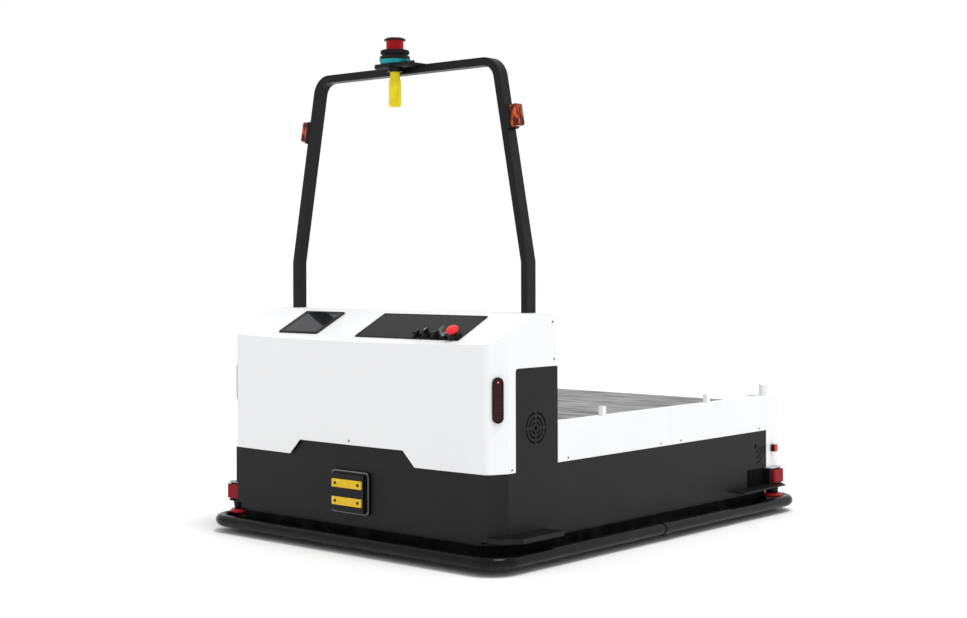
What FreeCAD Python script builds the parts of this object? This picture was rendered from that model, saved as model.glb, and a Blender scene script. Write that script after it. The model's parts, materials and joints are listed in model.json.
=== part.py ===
"""Roller-deck transport robot: a driven platform with a control tower, a mast hoop and a roller deck.

Millimetres. While a piece is made, X is to the right, Y runs from the front face to the rear and Z is
up from the floor. save() then centres the robot on the floor point below the middle of its bumper.
"""
import FreeCAD, Part
import math
import os
from FreeCAD import Vector

os.makedirs("parts", exist_ok=True)

# ---------------------------------------------------------------- driving dimensions
# body
body_width = 1300.0
body_length = 1734.0
facet_width = 32.0            # how far each front facet cuts in from the side
facet_length = 67.0           # how far each front facet runs back
front_bow = 16.0              # how far the tower's front face bulges at its middle
sheet = 4.0                   # thickness of covers and panels
seam = 0.8                    # visible joint between neighbouring covers
fit_gap = 0.3                 # clearance between pieces that seat on one another

# heights above the floor
skirt_bottom = 90.0
cover_split = 314.0           # lower edge of the white tower cover
step_top = 367.0              # raised middle of the dark front cover
side_panel_top = 650.0
crest_height = 730.0          # where the front face meets the sloping console
tower_top = 825.0
rail_bottom = 327.0
rail_top = 462.0
roller_top = 440.0

# lengths along the body
side_wing = 105.0             # how far the white cover wraps round each side
console_depth = 190.0         # run of the sloping console
tower_depth = 322.0
post_length = 89.0            # rear corner posts
step_half_top = 255.0
step_half_bottom = 310.0
rail_width = 40.0

# bumper
bumper_reach = 70.0
bumper_diameter = 42.0
ground_clearance = 22.0
bumper_corner = 104.0         # outer corner radius
sleeve_length = 34.0
sleeve_wall = 3.0

# base frame
plate_thickness = 8.0
plinth_inset = 12.0
plate_chamfer = 56.0
wing_top = 114.0              # outboard ledges over the bumper's corners
wing_thickness = 16.0
long_wing_thickness = 4.0
short_wing = 268.0
long_wing = 362.0
wing_root = 58.0              # how far the ledges reach in under the body's sides
scanner_pocket = 231.0        # length of the corner pocket that holds a scanner
pocket_top = 180.0
pocket_depth = 76.0

# drive wheels and casters
wheel_diameter = 200.0
wheel_width = 60.0
wheel_inset = 135.0           # from the body's side to the middle of a drive wheel
wheel_track = body_width - 2 * wheel_inset
axle_radius = 15.0
running_clearance = 0.05
caster_wheel_diameter = 100.0
caster_wheel_width = 36.0
caster_trail = 34.0
caster_inset = 150.0          # from the body's side to a caster's swivel axis
caster_x = body_width / 2 - caster_inset
caster_setback = 215.0        # caster swivel axis from each end of the body
caster_mount = 132.0          # underside of the plate that carries a caster
well_size = 210.0
well_top = caster_mount + 8.0
battery_length = 290.0
battery_width = 460.0
battery_front = 330.0           # from the front face to the battery
battery_top = 290.0

# roller deck
roller_count = 13
roller_diameter = 80.0
roller_wall = 3.0
roller_cap = 14.0             # thickness of a roller's end cap
roller_end_gap = 3.0
first_roller = tower_depth + 52.0
last_roller = body_length - 112.0
roller_pitch = (last_roller - first_roller) / (roller_count - 1)
journal_radius = 8.0

# mast hoop
hoop_width = 28.0
hoop_depth = 43.0
hoop_front = 249.0
hoop_margin = 69.0              # from the body's side to the hoop's foot
hoop_half_base = body_width / 2 - hoop_margin
hoop_lean = 132.0             # how far each leg leans in on its way up
hoop_half_top = hoop_half_base - hoop_lean
hoop_kink = 997.0
hoop_top = 1694.0
hoop_bend = 78.0
hoop_wall = 3.0

# lidar head, centred ahead of the hoop's beam
head_y = 215.0
bracket_thickness = 8.0
collar_radius = 56.0
collar_height = 20.0
flange_radius = 54.0
body_height = 35.0
window_radius = 31.0
window_height = 36.0
window_wall = 2.5
cap_radius = 38.5
cap_height = 7.0
rotor_radius = 24.0
grip_radius = 22.0
grip_neck_radius = 17.0
grip_length = 124.0
hub_radius = 27.0             # round hub under the bracket, above the grip
hub_drop = 14.0
bracket_reach = 25.0          # how far the bracket runs ahead of the lidar's axis
bracket_half = 80.0
bracket_block = 16.0

# beacons on the hoop's legs
beacon_height = 1484.0
beacon_length = 84.0
beacon_width = 46.0
beacon_base = 16.0
beacon_lens = 30.0

# console instruments, placed by their distance from the crest up the slope
screen_x0, screen_x1 = -406.0, -204.0
screen_s0, screen_s1 = 28.0, 182.0
plate_x0, plate_x1 = -2.0, 480.0
plate_s0, plate_s1 = 19.0, 184.0
plate_sheet = 3.0
knob_radius = 14.0
stem_radius = 8.0
bezel_radius = 17.0
bezel_height = 6.0
estop_radius = 20.0
estop_collar_radius = 24.0
button_travel = 4.0
estop_travel = 5.0
switch_s = 39.0               # row of switches up the slope
switch_x = (281.0, 324.0, 366.0, 406.0)
estop_x = 450.0

# charging contact
charge_height = 203.0
charge_width = 180.0
charge_tall = 146.0
charge_flange = 12.0
charge_block = 12.0
strip_width = 145.0
strip_tall = 28.0
strip_pitch = 61.0
strip_thickness = 6.0
strip_hole_pitch = 112.0
strip_hole_radius = 4.5

# oblong lamps on the front facets
lamp_height = 552.0
lamp_length = 148.0
lamp_width = 38.0
lamp_bezel = 7.0

# vents in the side panels
vent_radii = (18.5, 33.5, 49.5)
vent_slot = 5.5
vent_dot = 7.0
vent_y, vent_z = 208.0, 451.0
rear_vent_setback = 169.0     # from the body's rear end
rear_vent_y, rear_vent_z = body_length - rear_vent_setback, 269.0
rear_vent_radii = (26.0, 46.0, 66.0)

# safety scanners at two opposite corners
scanner_root = 84.0           # how far the body reaches in from the side
scanner_reach = 32.0          # how far its red cover stands out past the side
scanner_x0 = body_width / 2 - scanner_root
scanner_x1 = body_width / 2 + scanner_reach
scanner_setback = 6.0
scanner_depth = 90.0
scanner_height = 62.0
scanner_axis_x = body_width / 2
scanner_axis_setback = 48.0
scanner_disc_radius = 38.0
scanner_disc_z = 69.0
scanner_disc_thick = 14.0
scanner_cover = 10.0
scanner_neck = 30.0

half_width = body_width / 2
half_length = body_length / 2
slope_angle = math.atan2(tower_top - crest_height, console_depth)
wheel_radius = wheel_diameter / 2
caster_radius = caster_wheel_diameter / 2
bumper_radius = bumper_diameter / 2
bumper_z = ground_clearance + bumper_radius
roller_radius = roller_diameter / 2
roller_z = roller_top - roller_radius
hoop_y = hoop_front + hoop_depth / 2
post_start = body_length - post_length
X_AXIS, Y_AXIS, Z_AXIS = Vector(1, 0, 0), Vector(0, 1, 0), Vector(0, 0, 1)
MIDDLE = Vector(0, half_length, 0)


# ---------------------------------------------------------------- helpers
def box(x0, x1, y0, y1, z0, z1):
    return Part.makeBox(x1 - x0, y1 - y0, z1 - z0, Vector(x0, y0, z0))


def cylinder(base, axis, radius, length):
    return Part.makeCylinder(radius, length, base, axis)


def prism(points, push):
    """A straight prism from a closed outline of points, pushed along a vector."""
    wire = Part.makePolygon([Vector(*p) for p in points] + [Vector(*points[0])])
    return Part.Face(wire).extrude(push)


def fuse(first, *others):
    return first.multiFuse(list(others)).removeSplitter() if others else first


def group(shapes):
    return Part.makeCompound(list(shapes))


def mirrored(shape):
    """The piece's opposite number on the other side of the robot."""
    return shape.mirror(Vector(0, 0, 0), X_AXIS)


def turned(shape):
    """The piece's opposite number at the diagonally opposite corner."""
    copy = shape.copy()
    copy.rotate(MIDDLE, Z_AXIS, 180)
    return copy


def vertical_edges(shape, test=lambda p: True):
    found = []
    for edge in shape.Edges:
        ends = [v.Point for v in edge.Vertexes]
        if len(ends) == 2 and abs(ends[0].x - ends[1].x) < 1e-4 and abs(ends[0].y - ends[1].y) < 1e-4:
            if test(ends[0]):
                found.append(edge)
    return found


def rounded_box(x0, x1, y0, y1, z0, z1, radius, axis="z"):
    """A box whose four edges along one axis are rounded."""
    solid = box(x0, x1, y0, y1, z0, z1)
    direction = {"x": X_AXIS, "y": Y_AXIS, "z": Z_AXIS}[axis]
    edges = []
    for edge in solid.Edges:
        run = edge.Vertexes[1].Point - edge.Vertexes[0].Point
        if run.normalize().cross(direction).Length < 1e-6:
            edges.append(edge)
    return solid.makeFillet(radius, edges)


def save(name, shape):
    placed = shape.copy()
    placed.translate(Vector(0, -half_length, 0))
    placed.exportStep(f"parts/{name}.step")
    print(f"{name}: {len(placed.Solids)} solids, {placed.Volume / 1000:.0f} cm3, valid {placed.isValid()}")


# ---------------------------------------------------------------- tower covers
def tower_form(inset, bottom):
    """The tower's outer form, drawn in by an inset: bowed front, facets and sloping console."""
    side = half_width - inset
    nose = half_width - facet_width - inset * 0.8
    front = Part.Arc(Vector(-nose, inset, bottom), Vector(0, inset - front_bow, bottom),
                     Vector(nose, inset, bottom)).toShape()
    corners = [(nose, inset), (side, facet_length + inset * 0.2), (side, tower_depth),
               (-side, tower_depth), (-side, facet_length + inset * 0.2), (-nose, inset)]
    sides = Part.makePolygon([Vector(x, y, bottom) for x, y in corners])
    wire = Part.Wire([front] + sides.Edges)
    form = Part.Face(wire).extrude(Vector(0, 0, tower_top - inset - bottom))
    edges = vertical_edges(form, lambda p: p.y < facet_length / 2)
    form = form.makeFillet(24.0, edges)
    rise = inset / math.cos(slope_angle)
    over = half_width + 10
    low = crest_height - rise - 40 * math.tan(slope_angle)
    cut = prism([(-over, -40, low), (-over, console_depth, tower_top - rise),
                 (-over, console_depth, tower_top + 50), (-over, -40, tower_top + 50)],
                Vector(2 * over, 0, 0))
    return form.cut(cut)


def slope_place(x, s, lift=0.0):
    """A point on the console: s up the slope from the crest line, lift square to it."""
    y = s * math.cos(slope_angle) - lift * math.sin(slope_angle)
    z = crest_height + s * math.sin(slope_angle) + lift * math.cos(slope_angle)
    return Vector(x, y, z)


SLOPE_NORMAL = Vector(0, -math.sin(slope_angle), math.cos(slope_angle))


def slope_box(x0, x1, s0, s1, lift0, lift1, radius=0.0):
    """A slab that lies on the console."""
    if radius:
        slab = rounded_box(x0, x1, s0, s1, lift0, lift1, radius)
    else:
        slab = box(x0, x1, s0, s1, lift0, lift1)
    slab.rotate(Vector(0, 0, 0), X_AXIS, math.degrees(slope_angle))
    slab.translate(Vector(0, 0, crest_height))
    return slab


def upper_cover():
    shell = tower_form(0, cover_split).cut(tower_form(sheet, cover_split - 1))
    back = box(-half_width, half_width, tower_depth - sheet - seam, tower_depth + 1,
               0, tower_top - sheet)
    shell = shell.cut(back)
    window = box(-half_width - 1, half_width + 1, side_wing, tower_depth + 1,
                 cover_split - 1, side_panel_top)
    window = window.makeFillet(12.0, [e for e in window.Edges if
                                      abs(e.CenterOfMass.y - side_wing) < 1e-3 and
                                      abs(e.CenterOfMass.z - side_panel_top) < 1e-3])
    step = prism([(-step_half_bottom, -50, cover_split - 1), (-step_half_top, -50, step_top),
                  (step_half_top, -50, step_top), (step_half_bottom, -50, cover_split - 1)],
                 Vector(0, 60, 0))
    shell = shell.cut(window).cut(step)
    shell = shell.cut(slope_box(screen_x0 + 12, screen_x1 - 12, screen_s0 + 12, screen_s1 - 12, -9, 9))
    shell = shell.cut(slope_box(plate_x0 + 12, plate_x1 - 12, plate_s0 + 12, plate_s1 - 12, -9, 9))
    for x in (-1, 1):
        leg = box(hoop_half_base - hoop_width - fit_gap, hoop_half_base + fit_gap,
                  hoop_front - fit_gap, hoop_front + hoop_depth + fit_gap,
                  tower_top - 20, tower_top + 20)
        shell = shell.cut(leg if x > 0 else mirrored(leg))
    shell = shell.cut(lamp_hole(sheet * 3)).cut(mirrored(lamp_hole(sheet * 3)))
    return shell


def lower_cover():
    """Dark front cover: a plate with facets, whose middle rises in a step."""
    nose = half_width - facet_width
    outline = [(-half_width, facet_length), (-nose, 0), (nose, 0), (half_width, facet_length),
               (half_width - sheet, facet_length), (nose - sheet * 0.7, sheet),
               (-nose + sheet * 0.7, sheet), (-half_width + sheet, facet_length)]
    wall = prism([(x, y, skirt_bottom) for x, y in outline], Vector(0, 0, cover_split - seam - skirt_bottom))
    step = prism([(-step_half_bottom + seam, 0, cover_split - seam - 6),
                  (-step_half_bottom + seam, 0, cover_split - seam),
                  (-step_half_top + seam / 2, 0, step_top - seam),
                  (step_half_top - seam / 2, 0, step_top - seam),
                  (step_half_bottom - seam, 0, cover_split - seam),
                  (step_half_bottom - seam, 0, cover_split - seam - 6)], Vector(0, sheet, 0))
    wall = fuse(wall, step)
    root = half_width - wing_root - fit_gap
    for x in (root, -half_width - 9):
        wall = wall.cut(box(x, x + wing_root + 9 + fit_gap, -9, facet_length + 9, 0, wing_top + fit_gap))
    wall = wall.cut(box(-half_width - 9, -half_width + 40, -9, facet_length + 9, 0, pocket_top))
    socket = box(-charge_width / 2 + 20, charge_width / 2 - 20, -9, 9,
                 charge_height - charge_tall / 2 + 20, charge_height + charge_tall / 2 - 20)
    return wall.cut(socket)


def arc_slot(radius, start, sweep, x0, x1):
    """A curved slot cutter about the X axis through the origin, with round ends."""
    half = vent_slot / 2
    wire = Part.makePolygon([Vector(x0, radius - half, 0), Vector(x1, radius - half, 0),
                             Vector(x1, radius + half, 0), Vector(x0, radius + half, 0),
                             Vector(x0, radius - half, 0)])
    ring = Part.Face(wire).revolve(Vector(0, 0, 0), X_AXIS, sweep)
    ring.rotate(Vector(0, 0, 0), X_AXIS, start)
    return ring


def vent(radii, starts, sweep, dot):
    """Cutters of a vent: rings of curved slots round a dot."""
    x0, x1 = half_width - 3 * sheet, half_width + 3 * sheet
    cutters = [cylinder(Vector(x0, 0, 0), X_AXIS, dot, x1 - x0)]
    for radius in radii:
        inset = math.degrees(vent_slot * 0.9 / radius)
        for start in starts:
            cutters.append(arc_slot(radius, start + inset, sweep - 2 * inset, x0, x1))
    return cutters


def side_panel():
    """Dark side panel of the right-hand side."""
    start = facet_length + seam
    outline = [(start, skirt_bottom), (start, cover_split - seam), (side_wing + seam, cover_split - seam),
               (side_wing + seam, side_panel_top - seam), (tower_depth, side_panel_top - seam),
               (tower_depth, rail_bottom - seam), (post_start - seam, rail_bottom - seam),
               (post_start - seam, skirt_bottom)]
    panel = prism([(half_width - sheet, y, z) for y, z in outline], Vector(sheet, 0, 0))
    corner = [e for e in panel.Edges if abs(e.CenterOfMass.y - side_wing - seam) < 1e-3
              and abs(e.CenterOfMass.z - side_panel_top + seam) < 1e-3]
    panel = panel.makeFillet(12.0, corner)
    cutters = vent(vent_radii, (0, 90, 180, 270), 90, vent_dot)
    for cutter in cutters:
        cutter.translate(Vector(0, vent_y, vent_z))
    rear = vent(rear_vent_radii, (270,), 90, vent_dot)
    for cutter in rear:
        cutter.translate(Vector(0, rear_vent_y, rear_vent_z))
    return panel.cut(group(cutters)).cut(group(rear))


def corner_cuts(shape, short_front):
    """Room for the ledges and for the scanner pocket in a side panel of the right-hand side."""
    over = (half_width - 30, half_width + 30)
    short_z, long_z = wing_top + fit_gap, pocket_top
    if short_front:
        shape = shape.cut(box(*over, -9, short_wing + fit_gap, 0, short_z))
        shape = shape.cut(box(*over, body_length - long_wing - fit_gap, body_length + 9, 0, wing_top + fit_gap))
        return shape.cut(box(*over, body_length - scanner_pocket, body_length + 9, 0, long_z))
    shape = shape.cut(box(*over, -9, long_wing + fit_gap, 0, wing_top + fit_gap))
    shape = shape.cut(box(*over, -9, scanner_pocket, 0, long_z))
    return shape.cut(box(*over, body_length - short_wing - fit_gap, body_length + 9, 0, short_z))


def tower_rear_panel():
    panel = box(-half_width + sheet + fit_gap, half_width - sheet - fit_gap, tower_depth - sheet,
                tower_depth, rail_bottom, tower_top - sheet - fit_gap)
    window = box(-300, 300, tower_depth - 9, tower_depth + 9, roller_top + 80, roller_top + 280)
    ribs = [box(-300, 300, tower_depth - sheet, tower_depth, z, z + 12)
            for z in range(int(roller_top + 92), int(roller_top + 270), 24)]
    return fuse(panel.cut(window), *ribs)


def rear_panel():
    """Dark lower rear cover between the corner posts."""
    reach = half_width - post_length - seam
    panel = box(-reach, reach, body_length - sheet, body_length, skirt_bottom, rail_bottom - seam)
    return panel.cut(box(-120, 120, body_length - 9, body_length + 9, 180, 260))


def corner_post():
    """White cover of the right rear corner, folded round the side and the rear."""
    side = box(half_width - sheet, half_width, post_start, body_length, pocket_top, rail_top)
    back = box(half_width - post_length, half_width, body_length - sheet, body_length,
               pocket_top, rail_top)
    top = box(half_width - post_length, half_width, post_start, body_length, rail_top - sheet, rail_top)
    post = fuse(side, back, top)
    corner = vertical_edges(post, lambda p: p.x > half_width - 1 and p.y > body_length - 1)
    post = post.makeFillet(sheet * 0.9, corner)
    stub = cylinder(Vector(half_width - 24, post_start + 24, rail_top), Z_AXIS, 21.0, 46.0)
    stub = stub.makeFillet(6.0, [e for e in stub.Edges if e.CenterOfMass.z > rail_top + 40])
    return [post, stub]


def side_rail():
    """White side guide of the right-hand side: two folded lengths with square stops on top."""
    middle = (tower_depth + post_start) / 2
    shapes = []
    for y0, y1, stop in ((tower_depth + seam, middle - seam / 2, 590.0),
                         (middle + seam / 2, post_start - seam, 1242.0)):
        outline = [(half_width, rail_bottom), (half_width, rail_top), (half_width - rail_width, rail_top),
                   (half_width - rail_width, roller_z + 10), (half_width - rail_width + sheet, roller_z + 10),
                   (half_width - rail_width + sheet, rail_top - sheet), (half_width - sheet, rail_top - sheet),
                   (half_width - sheet, rail_bottom)]
        shapes.append(prism([(x, y0, z) for x, z in outline], Vector(0, y1 - y0, 0)))
        shapes.append(rounded_box(half_width - 26, half_width - 6, stop - 10, stop + 10,
                                  rail_top, rail_top + 32, 3.0))
    return shapes


# ---------------------------------------------------------------- base, bumper and inner pieces
def plan(inset, chamfer):
    """The base's outline as points: the body's rectangle with chamfered corners."""
    x, y0, y1 = half_width - inset, inset, body_length - inset
    return [(x - chamfer, y0), (x, y0 + chamfer), (x, y1 - chamfer), (x - chamfer, y1),
            (-x + chamfer, y1), (-x, y1 - chamfer), (-x, y0 + chamfer), (-x + chamfer, y0)]


def slab(outline, z0, z1):
    return prism([(x, y, z0) for x, y in outline], Vector(0, 0, z1 - z0))


def plinth_ring():
    """Dark wall under the base with the flange that carries the bumper."""
    outer = slab(plan(plinth_inset, plate_chamfer), ground_clearance + 14, skirt_bottom - plate_thickness)
    inner = slab(plan(plinth_inset + 6, plate_chamfer - 2), 0, skirt_bottom)
    carrier_z = bumper_z - 4
    reach = bumper_reach - bumper_diameter - fit_gap
    carrier = rounded_box(-half_width - reach, half_width + reach, -reach, body_length + reach,
                          carrier_z, carrier_z + plate_thickness, bumper_corner - bumper_diameter)
    carrier = carrier.cut(slab(plan(plinth_inset + 2, plate_chamfer - 2), 0, skirt_bottom))
    room = sleeve_length / 2 + 1
    notch = box(half_width + reach - sleeve_wall - fit_gap, half_width + reach + 9,
                half_length - room, half_length + room, 0, skirt_bottom)
    ring = fuse(outer.cut(inner), carrier.cut(notch).cut(mirrored(notch)))
    # room for the scanners' discs
    for x, y in scanner_places():
        ring = ring.cut(cylinder(Vector(x, y, scanner_disc_z - 9), Z_AXIS, scanner_disc_radius + 2, 30))
    return ring


def base_frame():
    frame = slab(plan(plinth_inset, plate_chamfer), skirt_bottom - plate_thickness, skirt_bottom)
    # ledges over the corners
    for corner, length, thick in ((lambda s: s, short_wing, wing_thickness),
                                  (turned, short_wing, wing_thickness),
                                  (mirrored, long_wing, long_wing_thickness),
                                  (lambda s: turned(mirrored(s)), long_wing, long_wing_thickness)):
        out = half_width + bumper_reach
        root = half_width - wing_root
        ledge = slab([(root, 0.5), (half_width + 10, 0.5), (out, 60), (out, length), (root, length)],
                     wing_top - thick, wing_top)
        foot = box(root, half_width - plinth_inset - 1, plate_chamfer + 6, length, skirt_bottom - 4,
                   wing_top - thick)
        frame = fuse(frame, corner(fuse(ledge, foot)))
    # openings for the drive wheels, and their gearboxes
    for side in (-1, 1):
        hole = box(wheel_track / 2 - wheel_width / 2 - 12, wheel_track / 2 + wheel_width / 2 + 12,
                   half_length - wheel_radius - 15, half_length + wheel_radius + 15, 0, 200)
        gear = box(wheel_track / 2 - wheel_width / 2 - 132, wheel_track / 2 - wheel_width / 2 - 11,
                   half_length - 75, half_length + 75, 0, 200)
        for cut in (hole, gear):
            frame = frame.cut(cut if side > 0 else mirrored(cut))
    # raised wells that carry the casters
    for x, y in caster_places():
        half = well_size / 2
        frame = frame.cut(box(x - half + 6, x + half - 6, y - half + 6, y + half - 6, 0, caster_mount))
        well = box(x - half, x + half, y - half, y + half, skirt_bottom - plate_thickness, well_top)
        well = well.cut(box(x - half + 6, x + half - 6, y - half + 6, y + half - 6, 0, caster_mount))
        well = well.cut(cylinder(Vector(x, y, caster_mount - 1), Z_AXIS, 16.0 + fit_gap, 20))
        frame = fuse(frame, well)
    # the scanners' necks pass through the long ledges
    for hole in scanner_neck_holes():
        frame = frame.cut(hole)
    return frame


def caster_places():
    return [(x, y) for y in (caster_setback, body_length - caster_setback) for x in (-caster_x, caster_x)]


def deck_frame():
    """Steel frame above the base: side channels with the roller bearings, cross members and uprights."""
    inner = half_width - rail_width - 4.0
    leg_width = 40.0
    z0, z1 = roller_z - 34, roller_z + 24
    y0, y1 = tower_depth + 2, body_length - sheet - 1
    cross_places = (y0, half_length - 180, y1 - 160)
    shapes = []
    for side in (-1, 1):
        channel = box(inner - 6, inner, y0, y1, z0, z1)
        flange = box(inner - 6, half_width - sheet - fit_gap, y0, y1, z0, z0 + 6)
        front_wing, rear_wing = (short_wing, long_wing) if side > 0 else (long_wing, short_wing)
        legs = []
        for y in cross_places:
            on_wing = y < front_wing or y + leg_width > body_length - rear_wing
            legs.append(box(inner, inner + 30, y, y + leg_width, wing_top if on_wing else skirt_bottom, z0 + 6))
        rail = fuse(channel, flange, *legs)
        for index in range(roller_count):
            y = first_roller + index * roller_pitch
            rail = rail.cut(cylinder(Vector(inner - 9, y, roller_z), X_AXIS,
                                     journal_radius + running_clearance, 12))
        shapes.append(rail if side > 0 else mirrored(rail))
    for y in cross_places:
        shapes.append(box(-inner, inner, y, y + leg_width, z0 - 44, z0 - 10))
    # the tower's own frame: two uprights with the sockets of the hoop
    top = tower_top - sheet - fit_gap
    for side in (-1, 1):
        x1 = hoop_half_base - hoop_width - fit_gap
        upright = box(x1 - 40, x1, hoop_front, hoop_front + hoop_depth, well_top, top)
        foot = box(x1 - 40, half_width - sheet - 6, hoop_front - 20, hoop_front + hoop_depth + 20,
                   560, 566)
        shapes.append(fuse(upright, foot) if side > 0 else mirrored(fuse(upright, foot)))
    shapes.append(box(-hoop_half_base + hoop_width + 10, hoop_half_base - hoop_width - 10, hoop_front + 10,
                      hoop_front + hoop_depth, top - 60, top - 20))
    return fuse(*shapes)


def bumper_path(offset):
    """Half of the tube's centre line, from mid-side to mid-side round the front."""
    x = half_width + offset
    y = -offset
    r = bumper_corner - bumper_radius
    z = bumper_z
    mid = half_length - seam / 2
    k = r * (1 - math.cos(math.pi / 4))
    return Part.Wire([
        Part.LineSegment(Vector(-x, mid, z), Vector(-x, y + r, z)).toShape(),
        Part.Arc(Vector(-x, y + r, z), Vector(-x + k, y + k, z), Vector(-x + r, y, z)).toShape(),
        Part.LineSegment(Vector(-x + r, y, z), Vector(x - r, y, z)).toShape(),
        Part.Arc(Vector(x - r, y, z), Vector(x - k, y + k, z), Vector(x, y + r, z)).toShape(),
        Part.LineSegment(Vector(x, y + r, z), Vector(x, mid, z)).toShape()])


def bumper_half():
    offset = bumper_reach - bumper_radius
    path = bumper_path(offset)
    start = path.Vertexes[0].Point
    ring = Part.Wire(Part.makeCircle(bumper_radius, start, Y_AXIS))
    return path.makePipeShell([ring], True, False)


def bumper_sleeve(side):
    x = side * (half_width + bumper_reach - bumper_radius)
    base = Vector(x, half_length - sleeve_length / 2, bumper_z)
    outer = cylinder(base, Y_AXIS, bumper_radius + sleeve_wall, sleeve_length)
    outer = outer.makeFillet(1.2, [e for e in outer.Edges if len(e.Vertexes) == 1])
    return outer.cut(cylinder(base, Y_AXIS, bumper_radius + fit_gap / 2, sleeve_length))


def battery_pack():
    half = battery_width / 2
    back = battery_front + battery_length
    middle = battery_front + battery_length / 2
    lid_top = battery_top + 8
    pack = rounded_box(-half, half, battery_front, back, skirt_bottom, battery_top, 12.0)
    lid = box(-half + 15, half - 15, battery_front + 15, back - 15, battery_top, lid_top)
    handles = [rounded_box(x - 8, x + 8, middle - 55, middle + 55, lid_top, lid_top + 18, 5.0, "x")
               for x in (80 - half, half - 80)]
    return fuse(pack, lid, *handles)


# ---------------------------------------------------------------- drives, casters and rollers
def drive_unit():
    """Right-hand gearmotor: a gearbox on a flange, its motor and the wheel's axle stub."""
    x1 = wheel_track / 2 - wheel_width / 2 - 12
    gearbox = rounded_box(x1 - 118, x1 - 2, half_length - 70, half_length + 70, 52, 205, 14.0, "x")
    flange = box(x1 - 150, x1, half_length - 115, half_length + 115, skirt_bottom, skirt_bottom + 10)
    flange = flange.cut(box(x1 - 0.5, x1 + 9, -9, body_length, 0, 300))
    motor = cylinder(Vector(x1 - 330, half_length, 152), X_AXIS, 46.0, 212)
    ribs = [cylinder(Vector(x1 - 310 + 14 * i, half_length, 152), X_AXIS, 50.0, 5) for i in range(11)]
    stub = cylinder(Vector(x1 - 4, half_length, wheel_radius), X_AXIS, axle_radius, wheel_width + 20)
    nose = cylinder(Vector(x1 - 2, half_length, wheel_radius), X_AXIS, 34.0, 12.0 - 2)
    return fuse(gearbox, flange, motor, *ribs, stub, nose)


def wheel(radius, width, hub_radius, bore, tyre):
    """A wheel about the X axis, centred at the origin: tread, web and hub turned in one profile."""
    w = width / 2
    profile = [(-w, bore), (w, bore), (w, hub_radius), (w * 0.45, hub_radius + 4),
               (w * 0.45, radius - tyre - 4), (w - 1, radius - tyre), (w - 1, radius - 6),
               (w - 5, radius), (-w + 5, radius), (-w + 1, radius - 6), (-w + 1, radius - tyre),
               (-w * 0.45, radius - tyre - 4), (-w * 0.45, hub_radius + 4), (-w, hub_radius)]
    wire = Part.makePolygon([Vector(x, r, 0) for x, r in profile + profile[:1]])
    return Part.Face(wire).revolve(Vector(0, 0, 0), X_AXIS, 360)


def drive_wheel(side):
    body = wheel(wheel_radius, wheel_width, 36.0, axle_radius + running_clearance, 16.0)
    holes = []
    for i in range(6):
        a = math.radians(60 * i)
        holes.append(cylinder(Vector(-wheel_width, 56 * math.cos(a), 56 * math.sin(a)), X_AXIS, 8.0,
                              2 * wheel_width))
    body = body.cut(group(holes))
    body.translate(Vector(side * wheel_track / 2, half_length, wheel_radius))
    return body


def caster_fork(x, y):
    """Swivel fork: kingpin, race, crown and two legs that hold the wheel's axle."""
    half = caster_wheel_width / 2 + 3
    crown_z = caster_mount - 14
    pin = cylinder(Vector(x, y, crown_z), Z_AXIS, 16.0, caster_mount + 7 - crown_z)
    race = cylinder(Vector(x, y, crown_z), Z_AXIS, 34.0, caster_mount - fit_gap - crown_z)
    crown = rounded_box(x - half - 5, x + half + 5, y - 32, y + 32, crown_z - 6, crown_z, 8.0)
    legs = []
    for side in (-1, 1):
        x0 = x + side * half
        outline = [(y - 28, crown_z - 3), (y + 30, crown_z - 3), (y + caster_trail + 14, caster_radius + 6),
                   (y + caster_trail + 10, caster_radius - 12), (y + caster_trail - 10, caster_radius - 12),
                   (y + caster_trail - 14, caster_radius + 4)]
        legs.append(prism([(x0, a, b) for a, b in outline], Vector(side * 5, 0, 0)))
    axle = cylinder(Vector(x - half - 8, y + caster_trail, caster_radius), X_AXIS, 6.0, 2 * half + 16)
    return fuse(pin, race, crown, *legs, axle)


def caster_wheel(x, y):
    body = wheel(caster_radius, caster_wheel_width, 14.0, 6.0 + running_clearance, 12.0)
    body.translate(Vector(x, y + caster_trail, caster_radius))
    return body


def roller(index):
    """Deck roller: a steel tube with a turned cap and journal pressed into each end."""
    inner = half_width - rail_width - 4.0
    half = inner - 6 - roller_end_gap
    bore = roller_radius - roller_wall
    tube = [(-half, bore), (half, bore), (half, roller_radius - 1), (half - 1, roller_radius),
            (-half + 1, roller_radius), (-half, roller_radius - 1)]
    tip = half + roller_end_gap + 5
    cap = [(half - roller_cap, 0), (tip, 0), (tip, journal_radius), (half, journal_radius),
           (half, 16), (half - 2, 18), (half - 2, bore), (half - roller_cap, bore)]
    shapes = []
    for profile in (tube, cap, [(-x, r) for x, r in cap]):
        wire = Part.makePolygon([Vector(x, r, 0) for x, r in profile + profile[:1]])
        shapes.append(Part.Face(wire).revolve(Vector(0, 0, 0), X_AXIS, 360))
    body = group(shapes)
    body.translate(Vector(0, first_roller + index * roller_pitch, roller_z))
    return body


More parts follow.
